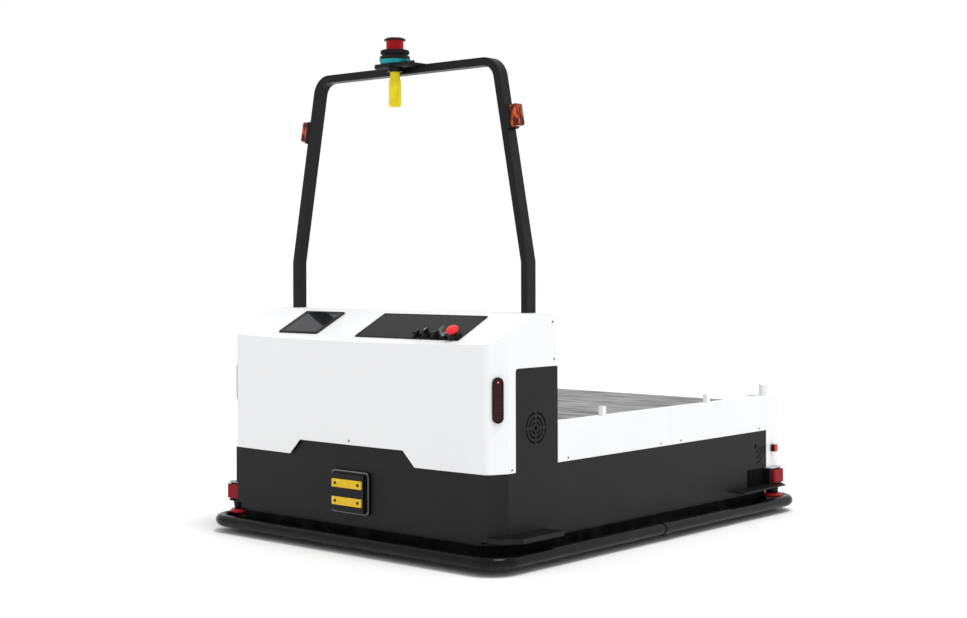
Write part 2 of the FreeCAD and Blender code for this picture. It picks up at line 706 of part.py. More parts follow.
# ---------------------------------------------------------------- mast hoop and lidar head
def hoop_outline(inset):
    """Outline of the hoop from foot to foot, drawn in by an inset, with round upper bends."""
    lean = math.atan2(hoop_half_base - hoop_half_top, hoop_top - hoop_kink)
    foot = 572.0
    shift = inset / math.cos(lean)
    kink_x = hoop_half_base - inset
    kink_z = hoop_kink - inset * math.tan(lean / 2)
    top_z = hoop_top - inset
    slope = math.tan(lean)
    corner = Vector(hoop_half_base + hoop_kink * slope - top_z * slope - shift, 0, top_z)
    radius = hoop_bend - inset
    turn = math.pi / 2 - lean
    run = radius * math.tan(turn / 2)
    down = Vector(math.sin(lean), 0, -math.cos(lean))
    start = corner + down * run
    end = corner + Vector(-run, 0, 0)
    bisector = (down + Vector(-1, 0, 0)).normalize()
    centre = corner + bisector * (radius / math.cos(turn / 2))
    mid = centre - bisector * radius
    return foot, kink_x, kink_z, start, mid, end


def hoop_band(inset):
    """Flat face bounded by the hoop's outline and the line between its feet."""
    foot, kx, kz, start, mid, end = hoop_outline(inset)
    flip = lambda p: Vector(-p.x, p.y, p.z)
    feet = [Vector(kx, 0, foot), Vector(kx, 0, kz)]
    edges = [Part.LineSegment(feet[0], feet[1]).toShape(), Part.LineSegment(feet[1], start).toShape(),
             Part.Arc(start, mid, end).toShape(), Part.LineSegment(end, flip(end)).toShape(),
             Part.Arc(flip(end), flip(mid), flip(start)).toShape(),
             Part.LineSegment(flip(start), flip(feet[1])).toShape(),
             Part.LineSegment(flip(feet[1]), flip(feet[0])).toShape(),
             Part.LineSegment(flip(feet[0]), feet[0]).toShape()]
    return Part.Face(Part.Wire(edges))


def mast_hoop():
    """Bent rectangular tube, open at its feet."""
    tube = hoop_band(0).cut(hoop_band(hoop_width)).extrude(Vector(0, hoop_depth, 0))
    hollow = hoop_band(hoop_wall).cut(hoop_band(hoop_width - hoop_wall))
    hollow = hollow.extrude(Vector(0, hoop_depth - 2 * hoop_wall, 0))
    hollow.translate(Vector(0, hoop_wall, 0))
    hoop = tube.cut(hollow)
    hoop.translate(Vector(0, hoop_front, 0))
    return hoop


bracket_top = hoop_top
collar_z = bracket_top
body_z = collar_z + collar_height
window_z = body_z + body_height
cap_z = window_z + window_height


def lidar_bracket():
    """Plate on the beam that reaches forward under the lidar, with a folded front lip."""
    z0 = hoop_top
    half = bracket_half
    top = z0 + bracket_thickness
    plate = rounded_box(-half, half, head_y - bracket_reach, hoop_front + hoop_depth, z0, top, 6.0)
    block = box(-half, half, head_y - bracket_reach, hoop_front - fit_gap, top - bracket_block, z0 + 1)
    block = block.makeChamfer(6.0, [e for e in block.Edges if abs(e.CenterOfMass.z - top + bracket_block) < 0.01
                                    and abs(e.CenterOfMass.y - head_y + bracket_reach) < 0.01])
    hub = cylinder(Vector(0, head_y, top - bracket_block - hub_drop), Z_AXIS, hub_radius, hub_drop + 1)
    hub = hub.cut(box(-half, half, hoop_front - fit_gap, hoop_front + 99, 0, 9999))
    bracket = fuse(plate, block, hub)
    return bracket.cut(cylinder(Vector(0, head_y, z0 - 50), Z_AXIS, 9.0 + running_clearance, 70))


def lidar_collar():
    """Slanted ring that carries the sensor, with a cable connector on its right."""
    z0 = bracket_top + bracket_thickness
    ring = Part.makeCone(collar_radius - 4, collar_radius, collar_height - bracket_thickness,
                         Vector(0, head_y, z0), Z_AXIS)
    knob = cylinder(Vector(collar_radius - 8, head_y, z0 + 6), X_AXIS, 5.0, 18)
    ring = fuse(ring, knob)
    return ring.cut(cylinder(Vector(0, head_y, z0 - 1), Z_AXIS, 20.0, 60))


def lidar_body():
    """Two stacked flanges with a waist between them."""
    r = flange_radius
    profile = [(20, 0), (r, 0), (r, 12), (r - 8, 14), (r - 8, 18), (r - 4, 20), (r - 4, 33), (r - 8, body_height),
               (20, body_height)]
    wire = Part.makePolygon([Vector(a, 0, z) for a, z in profile + profile[:1]])
    body = Part.Face(wire).revolve(Vector(0, 0, 0), Z_AXIS, 360)
    floor = cylinder(Vector(0, 0, body_height - 12), Z_AXIS, 21.0, 8)
    pin = cylinder(Vector(0, 0, body_height - 6), Z_AXIS, 4.0, 14)
    body = fuse(body, floor, pin)
    body.translate(Vector(0, head_y, body_z))
    return body


def lidar_window():
    outer = cylinder(Vector(0, head_y, window_z), Z_AXIS, window_radius, window_height)
    return outer.cut(cylinder(Vector(0, head_y, window_z), Z_AXIS, window_radius - window_wall, window_height))


def lidar_rotor():
    """Spinning mirror drum on its pin."""
    drum = cylinder(Vector(0, head_y, window_z + 2), Z_AXIS, rotor_radius, window_height - 6)
    drum = drum.cut(cylinder(Vector(0, head_y, window_z), Z_AXIS, 4.0 + running_clearance, 8 + fit_gap))
    facet = box(-rotor_radius, rotor_radius, head_y - rotor_radius - 1, head_y - rotor_radius + 9,
                window_z + 8, window_z + window_height)
    return drum.cut(facet)


def lidar_cap():
    """Thin lid whose rim droops over the window."""
    r = cap_radius
    profile = [(0, 0), (window_radius - 1, 0), (window_radius + 2, 1.0), (r, -2), (r, 2), (r - 8, cap_height),
               (0, cap_height)]
    wire = Part.makePolygon([Vector(a, 0, z) for a, z in profile + profile[:1]])
    cap = Part.Face(wire).revolve(Vector(0, 0, 0), Z_AXIS, 360)
    cap.translate(Vector(0, head_y, cap_z))
    return cap


def mast_grip():
    """Bottle-shaped hand grip that hangs under the bracket on a stud."""
    r, n = grip_radius, grip_neck_radius
    profile = [(0, 0), (n, 0), (n, -16), (n + 1, -22), (r, -40), (r, -grip_length + 6),
               (r - 2, -grip_length + 2), (r - 6, -grip_length), (0, -grip_length)]
    points = [Vector(a, 0, z) for a, z in profile + profile[:1]]
    grip = Part.Face(Part.makePolygon(points)).revolve(Vector(0, 0, 0), Z_AXIS, 360)
    stud = cylinder(Vector(0, 0, -6), Z_AXIS, 9.0, 6 + hub_drop + bracket_block - 2)
    grip = fuse(grip, stud)
    grip.translate(Vector(0, head_y, hoop_top + bracket_thickness - bracket_block - hub_drop - fit_gap))
    return grip


def beacon_solids():
    """Base and lens of the right-hand beacon, on the outer face of the leaning leg."""
    lean = math.atan2(hoop_half_base - hoop_half_top, hoop_top - hoop_kink)
    x = hoop_half_base - (beacon_height - hoop_kink) * math.tan(lean)
    y = hoop_y
    w, h = beacon_width / 2, beacon_length / 2
    base = rounded_box(fit_gap, beacon_base, y - w, y + w, -h, h, 8.0, "x")
    lens = rounded_box(beacon_base, beacon_base + beacon_lens, y - w + 3, y + w - 3, -h + 4, h - 4, 9.0, "x")
    lens = lens.makeFillet(6.0, [e for e in lens.Edges if abs(e.CenterOfMass.x - beacon_base - beacon_lens) < 0.1])
    placed = []
    for shape in (base, lens):
        shape.rotate(Vector(0, 0, 0), Y_AXIS, -math.degrees(lean))
        shape.translate(Vector(x, 0, beacon_height))
        placed.append(shape)
    return placed


# ---------------------------------------------------------------- console instruments
def console_cylinder(x, s, lift, radius, height):
    return cylinder(slope_place(x, s, lift), SLOPE_NORMAL, radius, height)


def touchscreen():
    bezel = slope_box(screen_x0, screen_x1, screen_s0, screen_s1, fit_gap, 5.0, 4.0)
    rim = bezel.cut(slope_box(screen_x0 + 13, screen_x1 - 13, screen_s0 + 13, screen_s1 - 13, 3.5, 9))
    back = slope_box(screen_x0 + 14, screen_x1 - 14, screen_s0 + 14, screen_s1 - 14, -34, 1.0)
    return fuse(rim, back)


def control_plate():
    plate = slope_box(plate_x0, plate_x1, plate_s0, plate_s1, fit_gap, fit_gap + plate_sheet)
    top = fit_gap + plate_sheet
    for x in switch_x:
        bezel = console_cylinder(x, switch_s, top - 1, bezel_radius, bezel_height + 1)
        plate = fuse(plate, bezel)
        plate = plate.cut(console_cylinder(x, switch_s, -5, stem_radius + running_clearance, 30))
    collar = console_cylinder(estop_x, switch_s, top - 1, estop_collar_radius, 13)
    plate = fuse(plate, collar)
    return plate.cut(console_cylinder(estop_x, switch_s, -5, stem_radius + running_clearance, 40))


def pressed_knob(x, radius, height, gap):
    """A push button's head and stem above its bezel."""
    base = fit_gap + plate_sheet + bezel_height + gap
    head = console_cylinder(x, switch_s, base, radius, height)
    rim = [e for e in head.Edges if len(e.Vertexes) == 1]
    head = head.makeFillet(1.5, rim)
    stem = console_cylinder(x, switch_s, -8, stem_radius, base + 8 + 1)
    return fuse(head, stem)


def selector(x):
    """A rotary selector: round skirt with a raised finger bar."""
    base = fit_gap + plate_sheet + bezel_height + fit_gap
    skirt = console_cylinder(x, switch_s, base, knob_radius, 6)
    bar = slope_box(x - 5, x + 5, switch_s - knob_radius + 1, switch_s + knob_radius - 1, base + 5, base + 18, 3.0)
    stem = console_cylinder(x, switch_s, -8, stem_radius, base + 8 + 1)
    return fuse(skirt, bar, stem)


def key_switch(x):
    """A lock barrel with its key standing in it."""
    base = fit_gap + plate_sheet + bezel_height + fit_gap
    boss = console_cylinder(x, switch_s, base, 11.0, 5)
    shank = slope_box(x - 1.5, x + 1.5, switch_s - 4, switch_s + 4, base + 4, base + 14)
    bow = slope_box(x - 1.5, x + 1.5, switch_s - 11, switch_s + 11, base + 13, base + 29)
    stem = console_cylinder(x, switch_s, -8, stem_radius, base + 8 + 1)
    return fuse(boss, shank, bow, stem)


def estop_button():
    """Mushroom head on its stem."""
    base = fit_gap + plate_sheet + 12 + estop_travel + 1
    r = estop_radius
    profile = [(0, 0), (r - 6, 0), (r, 5), (r, 11), (r - 3, 16), (r - 8, 19), (0, 20)]
    wire = Part.makePolygon([Vector(a, 0, z) for a, z in profile + profile[:1]])
    head = Part.Face(wire).revolve(Vector(0, 0, 0), Z_AXIS, 360)
    stem = cylinder(Vector(0, 0, -base - 8), Z_AXIS, stem_radius, base + 9)
    button = fuse(head, stem)
    button.rotate(Vector(0, 0, 0), X_AXIS, math.degrees(slope_angle))
    button.translate(slope_place(estop_x, switch_s, base))
    return button


# ---------------------------------------------------------------- charging contact, lamps and scanners
def charge_housing():
    w, h = charge_width / 2, charge_tall / 2
    z = charge_height
    flange = rounded_box(-w, w, -charge_flange, -fit_gap, z - h, z + h, 14.0, "y")
    flange = flange.makeChamfer(4.0, [e for e in flange.Edges if abs(e.CenterOfMass.y + charge_flange) < 1e-3])
    block = rounded_box(-w + 12, w - 12, -charge_flange - charge_block, 0, z - h + 9, z + h - 9, 8.0, "y")
    back = box(-w + 24, w - 24, -2, 40, z - h + 24, z + h - 24)
    return fuse(flange, block, back)


def charge_contacts():
    """Two copper strips with countersunk fixing holes."""
    strips = []
    y1 = -charge_flange - charge_block
    for side in (-1, 1):
        z = charge_height + side * strip_pitch / 2
        strip = rounded_box(-strip_width / 2, strip_width / 2, y1 - strip_thickness, y1,
                            z - strip_tall / 2, z + strip_tall / 2, 2.0, "y")
        for x in (-1, 1):
            strip = strip.cut(cylinder(Vector(x * strip_hole_pitch / 2, y1 - 9, z), Y_AXIS,
                                       strip_hole_radius, 20))
        strips.append(strip)
    return strips


facet_angle = math.degrees(math.atan2(facet_length, facet_width))


def on_facet(shape):
    """Place a piece drawn with its face towards -Y at the middle of the right-hand front facet."""
    shape.rotate(Vector(0, 0, 0), Z_AXIS, facet_angle)
    shape.translate(Vector(half_width - facet_width / 2, facet_length / 2, 0))
    return shape


def oblong(width, length, y0, y1):
    """An upright oblong with round ends, centred on the lamp's height."""
    r = width / 2
    straight = length / 2 - r
    middle = box(-r, r, y0, y1, lamp_height - straight, lamp_height + straight)
    ends = [cylinder(Vector(0, y0, lamp_height + s * straight), Y_AXIS, r, y1 - y0) for s in (-1, 1)]
    return fuse(middle, *ends)


def lamp_hole(depth):
    return on_facet(oblong(lamp_width - 10, lamp_length - 10, -depth, depth))


def lamp_bezel_solid():
    rim = oblong(lamp_width, lamp_length, -lamp_bezel, -fit_gap)
    rim = rim.cut(oblong(lamp_width - 8, lamp_length - 8, -lamp_bezel - 1, -2.5))
    body = oblong(lamp_width - 12, lamp_length - 12, -3, 22)
    return on_facet(fuse(rim, body))


def lamp_lens_solid():
    lens = oblong(lamp_width - 8 - 2 * fit_gap, lamp_length - 8 - 2 * fit_gap, -lamp_bezel + 1.5, -3)
    return on_facet(lens)


def corner_lamp():
    """Small lamp on the side of the right rear corner post."""
    y = body_length - 44
    return rounded_box(half_width + fit_gap, half_width + 18, y - 12, y + 12, 239, 267, 3.0, "x")


def scanner_parts():
    """Body and red cover of the safety scanner at the right rear corner, hung upside down."""
    y1 = body_length - scanner_setback
    y0 = y1 - scanner_depth
    z0, z1 = wing_top, wing_top + scanner_height
    x0, x1 = scanner_x0, scanner_x1
    centre = Vector(scanner_axis_x, body_length - scanner_axis_setback, 0)
    block = rounded_box(x0, x1 - scanner_cover, y0, y1 - scanner_cover, z0, z1, 6.0)
    neck = Part.makeCone(scanner_neck - 8, scanner_neck, z0 - scanner_disc_z + 1, centre + Vector(0, 0, scanner_disc_z), Z_AXIS)
    body = fuse(block, neck)
    outer = rounded_box(x0 + 16, x1, y0 + 16, y1, z0 + 4, z1 - 6, 10.0)
    cover = outer.cut(box(x0 - 9, x1 - scanner_cover, y0 - 9, y1 - scanner_cover, 0, 300))
    lowest = scanner_disc_z - scanner_disc_thick / 2
    disc = cylinder(centre + Vector(0, 0, lowest), Z_AXIS, scanner_disc_radius, scanner_disc_thick)
    disc = disc.makeFillet(5.0, [e for e in disc.Edges if len(e.Vertexes) == 1])
    disc = disc.cut(body)
    return body, cover, disc


def scanner_places():
    return [(scanner_axis_x, body_length - scanner_axis_setback), (-scanner_axis_x, scanner_axis_setback)]


def scanner_neck_holes():
    """Cutters that clear the scanners' necks through base and ledges."""
    low = skirt_bottom - plate_thickness - 4
    return [cylinder(Vector(x, y, low), Z_AXIS, scanner_neck + 2, wing_top - low + 4)
            for x, y in scanner_places()]


# ---------------------------------------------------------------- assembly
save("base_frame", base_frame())
save("plinth_ring", plinth_ring())
save("deck_frame", deck_frame())
save("upper_cover", upper_cover())
save("lower_cover", lower_cover())
save("side_panel_right", corner_cuts(side_panel(), True))
save("side_panel_left", mirrored(corner_cuts(side_panel(), False)))
save("tower_rear_panel", tower_rear_panel())
save("rear_panel", rear_panel())
post = corner_post()
save("corner_posts", group(post + [mirrored(s) for s in post]))
rail = side_rail()
save("side_rails", group(rail + [mirrored(s) for s in rail]))
front_bumper = bumper_half()
save("bumper_front", group([front_bumper, bumper_sleeve(-1), bumper_sleeve(1)]))
save("bumper_rear", turned(front_bumper))
save("battery_pack", battery_pack())
unit = drive_unit()
save("drive_units", group([unit, mirrored(unit)]))
save("drive_wheel_right", drive_wheel(1))
save("drive_wheel_left", drive_wheel(-1))
for number, (x, y) in enumerate(caster_places(), 1):
    save(f"caster_fork_{number}", caster_fork(x, y))
    save(f"caster_wheel_{number}", caster_wheel(x, y))
for index in range(roller_count):
    save(f"roller_{index + 1:02d}", roller(index))
save("mast_hoop", mast_hoop())
save("lidar_bracket", lidar_bracket())
save("lidar_collar", lidar_collar())
save("lidar_body", group([lidar_body(), lidar_cap()]))
save("lidar_window", lidar_window())
save("lidar_rotor", lidar_rotor())
save("mast_grip", mast_grip())
beacon_base_solid, beacon_lens_solid = beacon_solids()
save("beacon_bases", group([beacon_base_solid, mirrored(beacon_base_solid)]))
save("beacon_lenses", group([beacon_lens_solid, mirrored(beacon_lens_solid)]))
save("touchscreen", touchscreen())
save("control_plate", control_plate())
save("start_button", pressed_knob(switch_x[0], knob_radius - 1, 8.0, button_travel))
save("mode_selector", selector(switch_x[1]))
save("reset_button", pressed_knob(switch_x[2], knob_radius - 1, 8.0, button_travel))
save("key_switch", key_switch(switch_x[3]))
save("estop_button", estop_button())
save("charge_housing", charge_housing())
save("charge_contacts", group(charge_contacts()))
bezel = lamp_bezel_solid()
save("lamp_bezels", group([bezel, mirrored(bezel)]))
lens = lamp_lens_solid()
small = corner_lamp()
save("lamp_lenses", group([lens, mirrored(lens), small, mirrored(small)]))
scanner_body, scanner_red, scanner_disc = scanner_parts()
save("scanner_bodies", group([scanner_body, turned(scanner_body)]))
save("scanner_covers", group([scanner_red, turned(scanner_red), scanner_disc, turned(scanner_disc)]))
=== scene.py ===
"""Roller-deck transport robot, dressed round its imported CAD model."""

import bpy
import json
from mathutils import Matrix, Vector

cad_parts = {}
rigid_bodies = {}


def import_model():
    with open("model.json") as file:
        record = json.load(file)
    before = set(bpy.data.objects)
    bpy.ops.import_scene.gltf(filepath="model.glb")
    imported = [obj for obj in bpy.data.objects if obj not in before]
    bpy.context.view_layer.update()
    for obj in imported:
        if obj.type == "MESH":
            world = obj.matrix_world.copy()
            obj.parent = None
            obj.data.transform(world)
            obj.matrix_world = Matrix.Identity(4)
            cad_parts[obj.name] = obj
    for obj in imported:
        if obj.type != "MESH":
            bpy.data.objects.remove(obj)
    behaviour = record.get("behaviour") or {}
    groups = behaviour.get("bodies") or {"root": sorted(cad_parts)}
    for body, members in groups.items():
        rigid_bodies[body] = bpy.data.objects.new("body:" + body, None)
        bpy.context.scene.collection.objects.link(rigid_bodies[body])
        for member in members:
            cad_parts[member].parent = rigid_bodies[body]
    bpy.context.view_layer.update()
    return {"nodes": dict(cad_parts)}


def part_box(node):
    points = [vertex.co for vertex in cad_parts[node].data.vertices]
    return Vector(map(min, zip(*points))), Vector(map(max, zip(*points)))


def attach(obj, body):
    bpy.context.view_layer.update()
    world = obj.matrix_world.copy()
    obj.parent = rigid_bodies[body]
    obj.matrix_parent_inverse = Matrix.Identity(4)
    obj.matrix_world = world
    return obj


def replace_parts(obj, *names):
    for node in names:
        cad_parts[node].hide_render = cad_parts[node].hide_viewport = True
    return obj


bl_info = {
    "name": "Roller-deck transport robot",
    "version": (1, 0, 0),
    "blender": (4, 5, 0),
    "location": "3D View > Sidebar > Robot",
    "description": "Adds finishes, fasteners, lamps, instruments, belts and a studio to the packed robot",
    "category": "Add Mesh",
}

import json
import math
import bmesh
import bpy
from mathutils import Matrix, Vector

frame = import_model()
NODES = frame["nodes"]
FINISH = {}
DUST = (0.30, 0.29, 0.27)


# ------------------------------------------------------------------ shader building
class Socket:
    """A shader output that takes part in Python arithmetic."""

    def __init__(self, paint, out):
        self.paint, self.out = paint, out

    def _math(self, operation, first, second):
        return self.paint.node("ShaderNodeMath", {"operation": operation}, {0: first, 1: second})

    def __add__(self, other):
        return self._math("ADD", self, other)

    def __rsub__(self, other):
        return self._math("SUBTRACT", other, self)

    def __mul__(self, other):
        return self._math("MULTIPLY", self, other)


class Paint:
    """One material being written as expressions on Object coordinates."""

    def __init__(self, name):
        self.material = bpy.data.materials.new(name)
        self.material.use_nodes = True
        self.tree = self.material.node_tree
        self.tree.nodes.clear()
        self.surface = self.tree.nodes.new("ShaderNodeBsdfPrincipled")
        end = self.tree.nodes.new("ShaderNodeOutputMaterial")
        self.tree.links.new(self.surface.outputs[0], end.inputs[0])
        self.place = self.node("ShaderNodeTexCoord", {}, {}, "Object")
        FINISH[name] = self.material

    def node(self, kind, settings, values, output=0):
        made = self.tree.nodes.new(kind)
        for key, value in settings.items():
            setattr(made, key, value)
        for key, value in values.items():
            self.feed(made.inputs[key], value)
        return Socket(self, made.outputs[output])

    def feed(self, target, value):
        if isinstance(value, Socket):
            self.tree.links.new(value.out, target)
        else:
            target.default_value = value

    def stretch(self, scale):
        return self.node("ShaderNodeMapping", {}, {"Vector": self.place, "Scale": scale})

    def noise(self, scale, detail=3.0, stretch=None):
        where = self.stretch(stretch) if stretch else self.place
        return self.node("ShaderNodeTexNoise", {}, {"Vector": where, "Scale": scale, "Detail": detail})

    def ramp(self, value, low, high):
        return self.node("ShaderNodeMapRange", {"interpolation_type": "SMOOTHSTEP"},
                         {"Value": value, "From Min": low, "From Max": high})

    def height(self):
        return self.node("ShaderNodeSeparateXYZ", {}, {0: self.place}, 2)

    def mix(self, factor, first, second):
        return self.node("ShaderNodeMix", {"data_type": "RGBA"}, {0: factor, 6: first, 7: second}, 2)

    def bump(self, value, depth):
        return self.node("ShaderNodeBump", {}, {"Height": value, "Distance": depth, "Strength": 0.6})

    def set(self, **values):
        names = {"color": "Base Color", "rough": "Roughness", "metal": "Metallic", "normal": "Normal",
                 "coat": "Coat Weight", "coat_rough": "Coat Roughness", "glass": "Transmission Weight",
                 "ior": "IOR", "glow": "Emission Color", "glow_strength": "Emission Strength",
                 "specular": "Specular IOR Level"}
        for key, value in values.items():
            self.feed(self.surface.inputs[names[key]], value)
        return self.material


def rgba(color, gain=1.0):
    return tuple(min(1.0, c * gain) for c in color[:3]) + (1.0,)


def floor_dust(paint, color, amount, reach=0.16):
    """Colour that greys a little towards the floor, unevenly."""
    low = 1.0 - paint.ramp(paint.height(), 0.02, reach)
    patchy = paint.ramp(paint.noise(14.0, 5.0), 0.4, 0.72)
    return paint.mix(low * patchy * amount, color, rgba(DUST))


def coated(name, color, rough, grain, depth, spread=0.06, coat=0.0, sheen=0.5):
    """Powder coat or paint: fine grain, slow patches of tone, uneven gloss and floor dust."""
    p = Paint(name)
    patches = p.noise(3.2, 4.0)
    tone = p.mix(p.ramp(patches, 0.3, 0.7), rgba(color, 1 - spread), rgba(color, 1 + spread))
    tone = floor_dust(p, tone, 0.18 if color[0] > 0.1 else 0.04)
    gloss = p.noise(grain * 0.35, 2.0) * 0.10 + p.noise(6.0, 3.0) * 0.12 + (rough - 0.11)
    return p.set(color=tone, rough=gloss, coat=coat, coat_rough=0.12, specular=sheen,
                 normal=p.bump(p.noise(grain, 2.0), depth))


def metal(name, color, rough, stretch, scale=1.0, contrast=0.14):
    """Bare metal with fine lines along one direction and a few darker stains."""
    p = Paint(name)
    lines = p.noise(160.0 * scale, 3.0, stretch)
    stain = p.ramp(p.noise(9.0, 5.0), 0.55, 0.8)
    tone = p.mix(p.ramp(lines, 0.35, 0.65), rgba(color, 1 - contrast), rgba(color, 1.1))
    tone = p.mix(stain * 0.3, tone, rgba(color, 0.62))
    return p.set(color=tone, metal=1.0, rough=lines * 0.14 + stain * 0.1 + (rough - 0.08),
                 normal=p.bump(lines, 0.00002))


def moulded(name, color, rough, depth=0.00003, grain=1400.0, glass=0.0, coat=0.0, glow=0.0, sheen=0.25):
    """Moulded plastic: spark-eroded grain, a little tone drift; clear grades let light through."""
    p = Paint(name)
    drift = p.ramp(p.noise(22.0, 3.0), 0.35, 0.7)
    tone = p.mix(drift, rgba(color, 0.9), rgba(color, 1.12))
    material = p.set(color=tone, rough=p.noise(40.0, 2.0) * 0.08 + (rough - 0.04), glass=glass, ior=1.46,
                     specular=sheen, coat=coat, coat_rough=0.06, normal=p.bump(p.noise(grain, 1.0), depth))
    if glow:
        p.set(glow=rgba(color), glow_strength=glow)
    return material


def signal_lens(name, dark, bright, glass):
    """Clear tinted lens whose colour swaps between dark and bright along noise flutes; the bright streaks are painted
    glints of light refracted in the lens.
    """
    p = Paint(name)
    flutes = p.noise(75.0, 2.0, (1.0, 1.0, 0.3))
    # painted glints: where the flute noise is high the colour turns bright orange, standing in for light caught
    # inside the lens
    painted_glint = p.ramp(flutes, 0.46, 0.66)
    return p.set(color=p.mix(painted_glint, rgba(dark), rgba(bright)), rough=painted_glint * 0.05 + 0.07, glass=glass, ior=1.46,
                 specular=0.2, normal=p.bump(flutes, 0.0006))


def rubber(name, color, rough):
    """Moulded rubber: soft grain, pale scuffs in short streaks."""
    p = Paint(name)
    scuff = p.ramp(p.noise(26.0, 6.0, (1.0, 1.0, 5.0)), 0.62, 0.76)
    tone = p.mix(scuff * 0.12, rgba(color), rgba((0.17, 0.165, 0.16)))
    tone = floor_dust(p, tone, 0.06, reach=0.05)
    return p.set(color=tone, rough=scuff * 0.2 + p.noise(90.0, 2.0) * 0.1 + (rough - 0.05), specular=0.16,
                 normal=p.bump(p.noise(700.0, 3.0), 0.00006))


def worn_brass(name, color):
    """Contact metal polished in streaks by the charging shoes."""
    p = Paint(name)
    streak = p.ramp(p.noise(60.0, 5.0, (0.6, 1.0, 9.0)), 0.5, 0.72)
    tone = p.mix(streak * 0.5, rgba(color), rgba((0.95, 0.82, 0.42)))
    edge = p.ramp(p.noise(18.0, 4.0), 0.58, 0.8)
    tone = p.mix(edge * 0.35, tone, rgba(color, 0.55))
    return p.set(color=tone, metal=streak * 0.35 + 0.12, rough=0.46 - streak * 0.14, specular=0.15,
                 normal=p.bump(p.noise(500.0, 2.0, (0.4, 1.0, 4.0)), 0.00003))


def screen_glass(name):
    """Dark display glass with faint wipe marks."""
    p = Paint(name)
    wipe = p.ramp(p.noise(9.0, 5.0, (1.0, 4.0, 4.0)), 0.5, 0.8)
    tone = p.mix(wipe * 0.5, rgba((0.012, 0.013, 0.016)), rgba((0.03, 0.031, 0.036)))
    return p.set(color=tone, rough=wipe * 0.12 + 0.05, specular=0.17)


def wire_mesh(name):
    """Fine woven screen behind the vents; the weave is texture, its near-black colour is painted shade for the dark
    inside of the vents.
    """
    p = Paint(name)
    weave = p.node("ShaderNodeTexChecker", {}, {"Vector": p.place, "Scale": 420.0}, 1)
    # painted shade: both weave colours are near black
    tone = p.mix(weave, rgba((0.0008, 0.0008, 0.0008)), rgba((0.004, 0.004, 0.0042)))
    return p.set(color=tone, rough=0.7, specular=0.05, normal=p.bump(weave, 0.0002))


# ------------------------------------------------------------------ mesh building
def piece(name, finish, slot, *shapes, body="chassis", smooth=35.0):
    """A finished piece that rides on a body; each shape is lathe, pad or frame_ring with its values."""
    bm = bmesh.new()
    for shape, *values in shapes:
        shape(bm, *values)
    bmesh.ops.remove_doubles(bm, verts=bm.verts, dist=1e-7)
    bmesh.ops.recalc_face_normals(bm, faces=bm.faces)
    mesh = bpy.data.meshes.new(name)
    bm.to_mesh(mesh)
    bm.free()
    mesh.materials.append(FINISH[finish])
    return settle(name, mesh, body, smooth)


def settle(name, mesh, body, smooth):
    """Link a mesh as an object at the origin, shade it by angle and seat it on its body."""
    made = bpy.data.objects.new(name, mesh)
    bpy.context.scene.collection.objects.link(made)
    if smooth:
        mesh.shade_smooth()
        mesh.set_sharp_from_angle(angle=math.radians(smooth))
    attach(made, body)
    return made


def facing(where, normal, spin=0.0):
    """A placement whose Z axis points along a normal."""
    turn = Vector(normal).normalized().to_track_quat("Z", "Y").to_matrix().to_4x4()
    return Matrix.Translation(Vector(where)) @ turn @ Matrix.Rotation(math.radians(spin), 4, "Z")


def around(place, count, radius, height=0.0):
    """Placements evenly spaced on a circle about a placement's Z axis."""
    return [place @ Matrix.Rotation(2 * math.pi * i / count, 4, "Z") @ Matrix.Translation((radius, 0, height))
            for i in range(count)]


def lathe(bm, profile, place, steps):
    """Revolve (radius, height) pairs about the placement's Z axis; ends on the axis are closed."""
    rings = []
    for radius, height in profile:
        if radius < 1e-6:
            rings.append([bm.verts.new(place @ Vector((0, 0, height)))])
            continue
        rings.append([bm.verts.new(place @ Vector((radius * math.cos(a), radius * math.sin(a), height)))
                      for a in (2 * math.pi * i / steps for i in range(steps))])
    for low, high in zip(rings, rings[1:]):
        for i in range(steps):
            j = (i + 1) % steps
            if len(low) == 1 and len(high) == 1:
                continue
            if len(low) == 1:
                corners = [low[0], high[j], high[i]]
            elif len(high) == 1:
                corners = [low[i], low[j], high[0]]
            else:
                corners = [low[i], low[j], high[j], high[i]]
            bm.faces.new(corners)


def round_ring(bm, width, length, radius, inset, height, place, steps):
    """Vertices round a rectangle with round corners, drawn in by an inset."""
    ring = []
    r, core = max(radius - inset, 1e-5), max(radius, inset)
    for cx, cy, start in ((1, 1, 0), (-1, 1, 90), (-1, -1, 180), (1, -1, 270)):
        x0, y0 = cx * (width / 2 - core), cy * (length / 2 - core)
        for k in range(steps + 1):
            a = math.radians(start + 90 * k / steps)
            ring.append(bm.verts.new(place @ Vector((x0 + r * math.cos(a), y0 + r * math.sin(a), height))))
    return ring


def bridge(bm, pairs):
    """Quads between the two rings of each pair."""
    for low, high in pairs:
        for i in range(len(low)):
            j = (i + 1) % len(low)
            bm.faces.new([low[i], low[j], high[j], high[i]])


def pad(bm, width, length, radius, low, high, place, edge=0.0):
    """A plate with round corners and a chamfered upper edge."""
    levels = [(0.0, low), (0.0, high - edge), (edge, high)] if edge else [(0.0, low), (0.0, high)]
    rings = [round_ring(bm, width, length, radius, inset, height, place, 6) for inset, height in levels]
    bridge(bm, zip(rings, rings[1:]))
    bm.faces.new(rings[-1])
    bm.faces.new(list(reversed(rings[0])))


def frame_ring(bm, width, length, radius, wall, low, high, place):
    """A raised frame with round corners: an outer wall, a crown and an inner wall."""
    shoulder = high - wall * 0.3
    levels = [(0.0, low), (0.0, shoulder), (wall * 0.3, high), (wall * 0.7, high), (wall, shoulder), (wall, low)]
    rings = [round_ring(bm, width, length, radius, inset, height, place, 8) for inset, height in levels]
    bridge(bm, zip(rings, rings[1:] + rings[:1]))


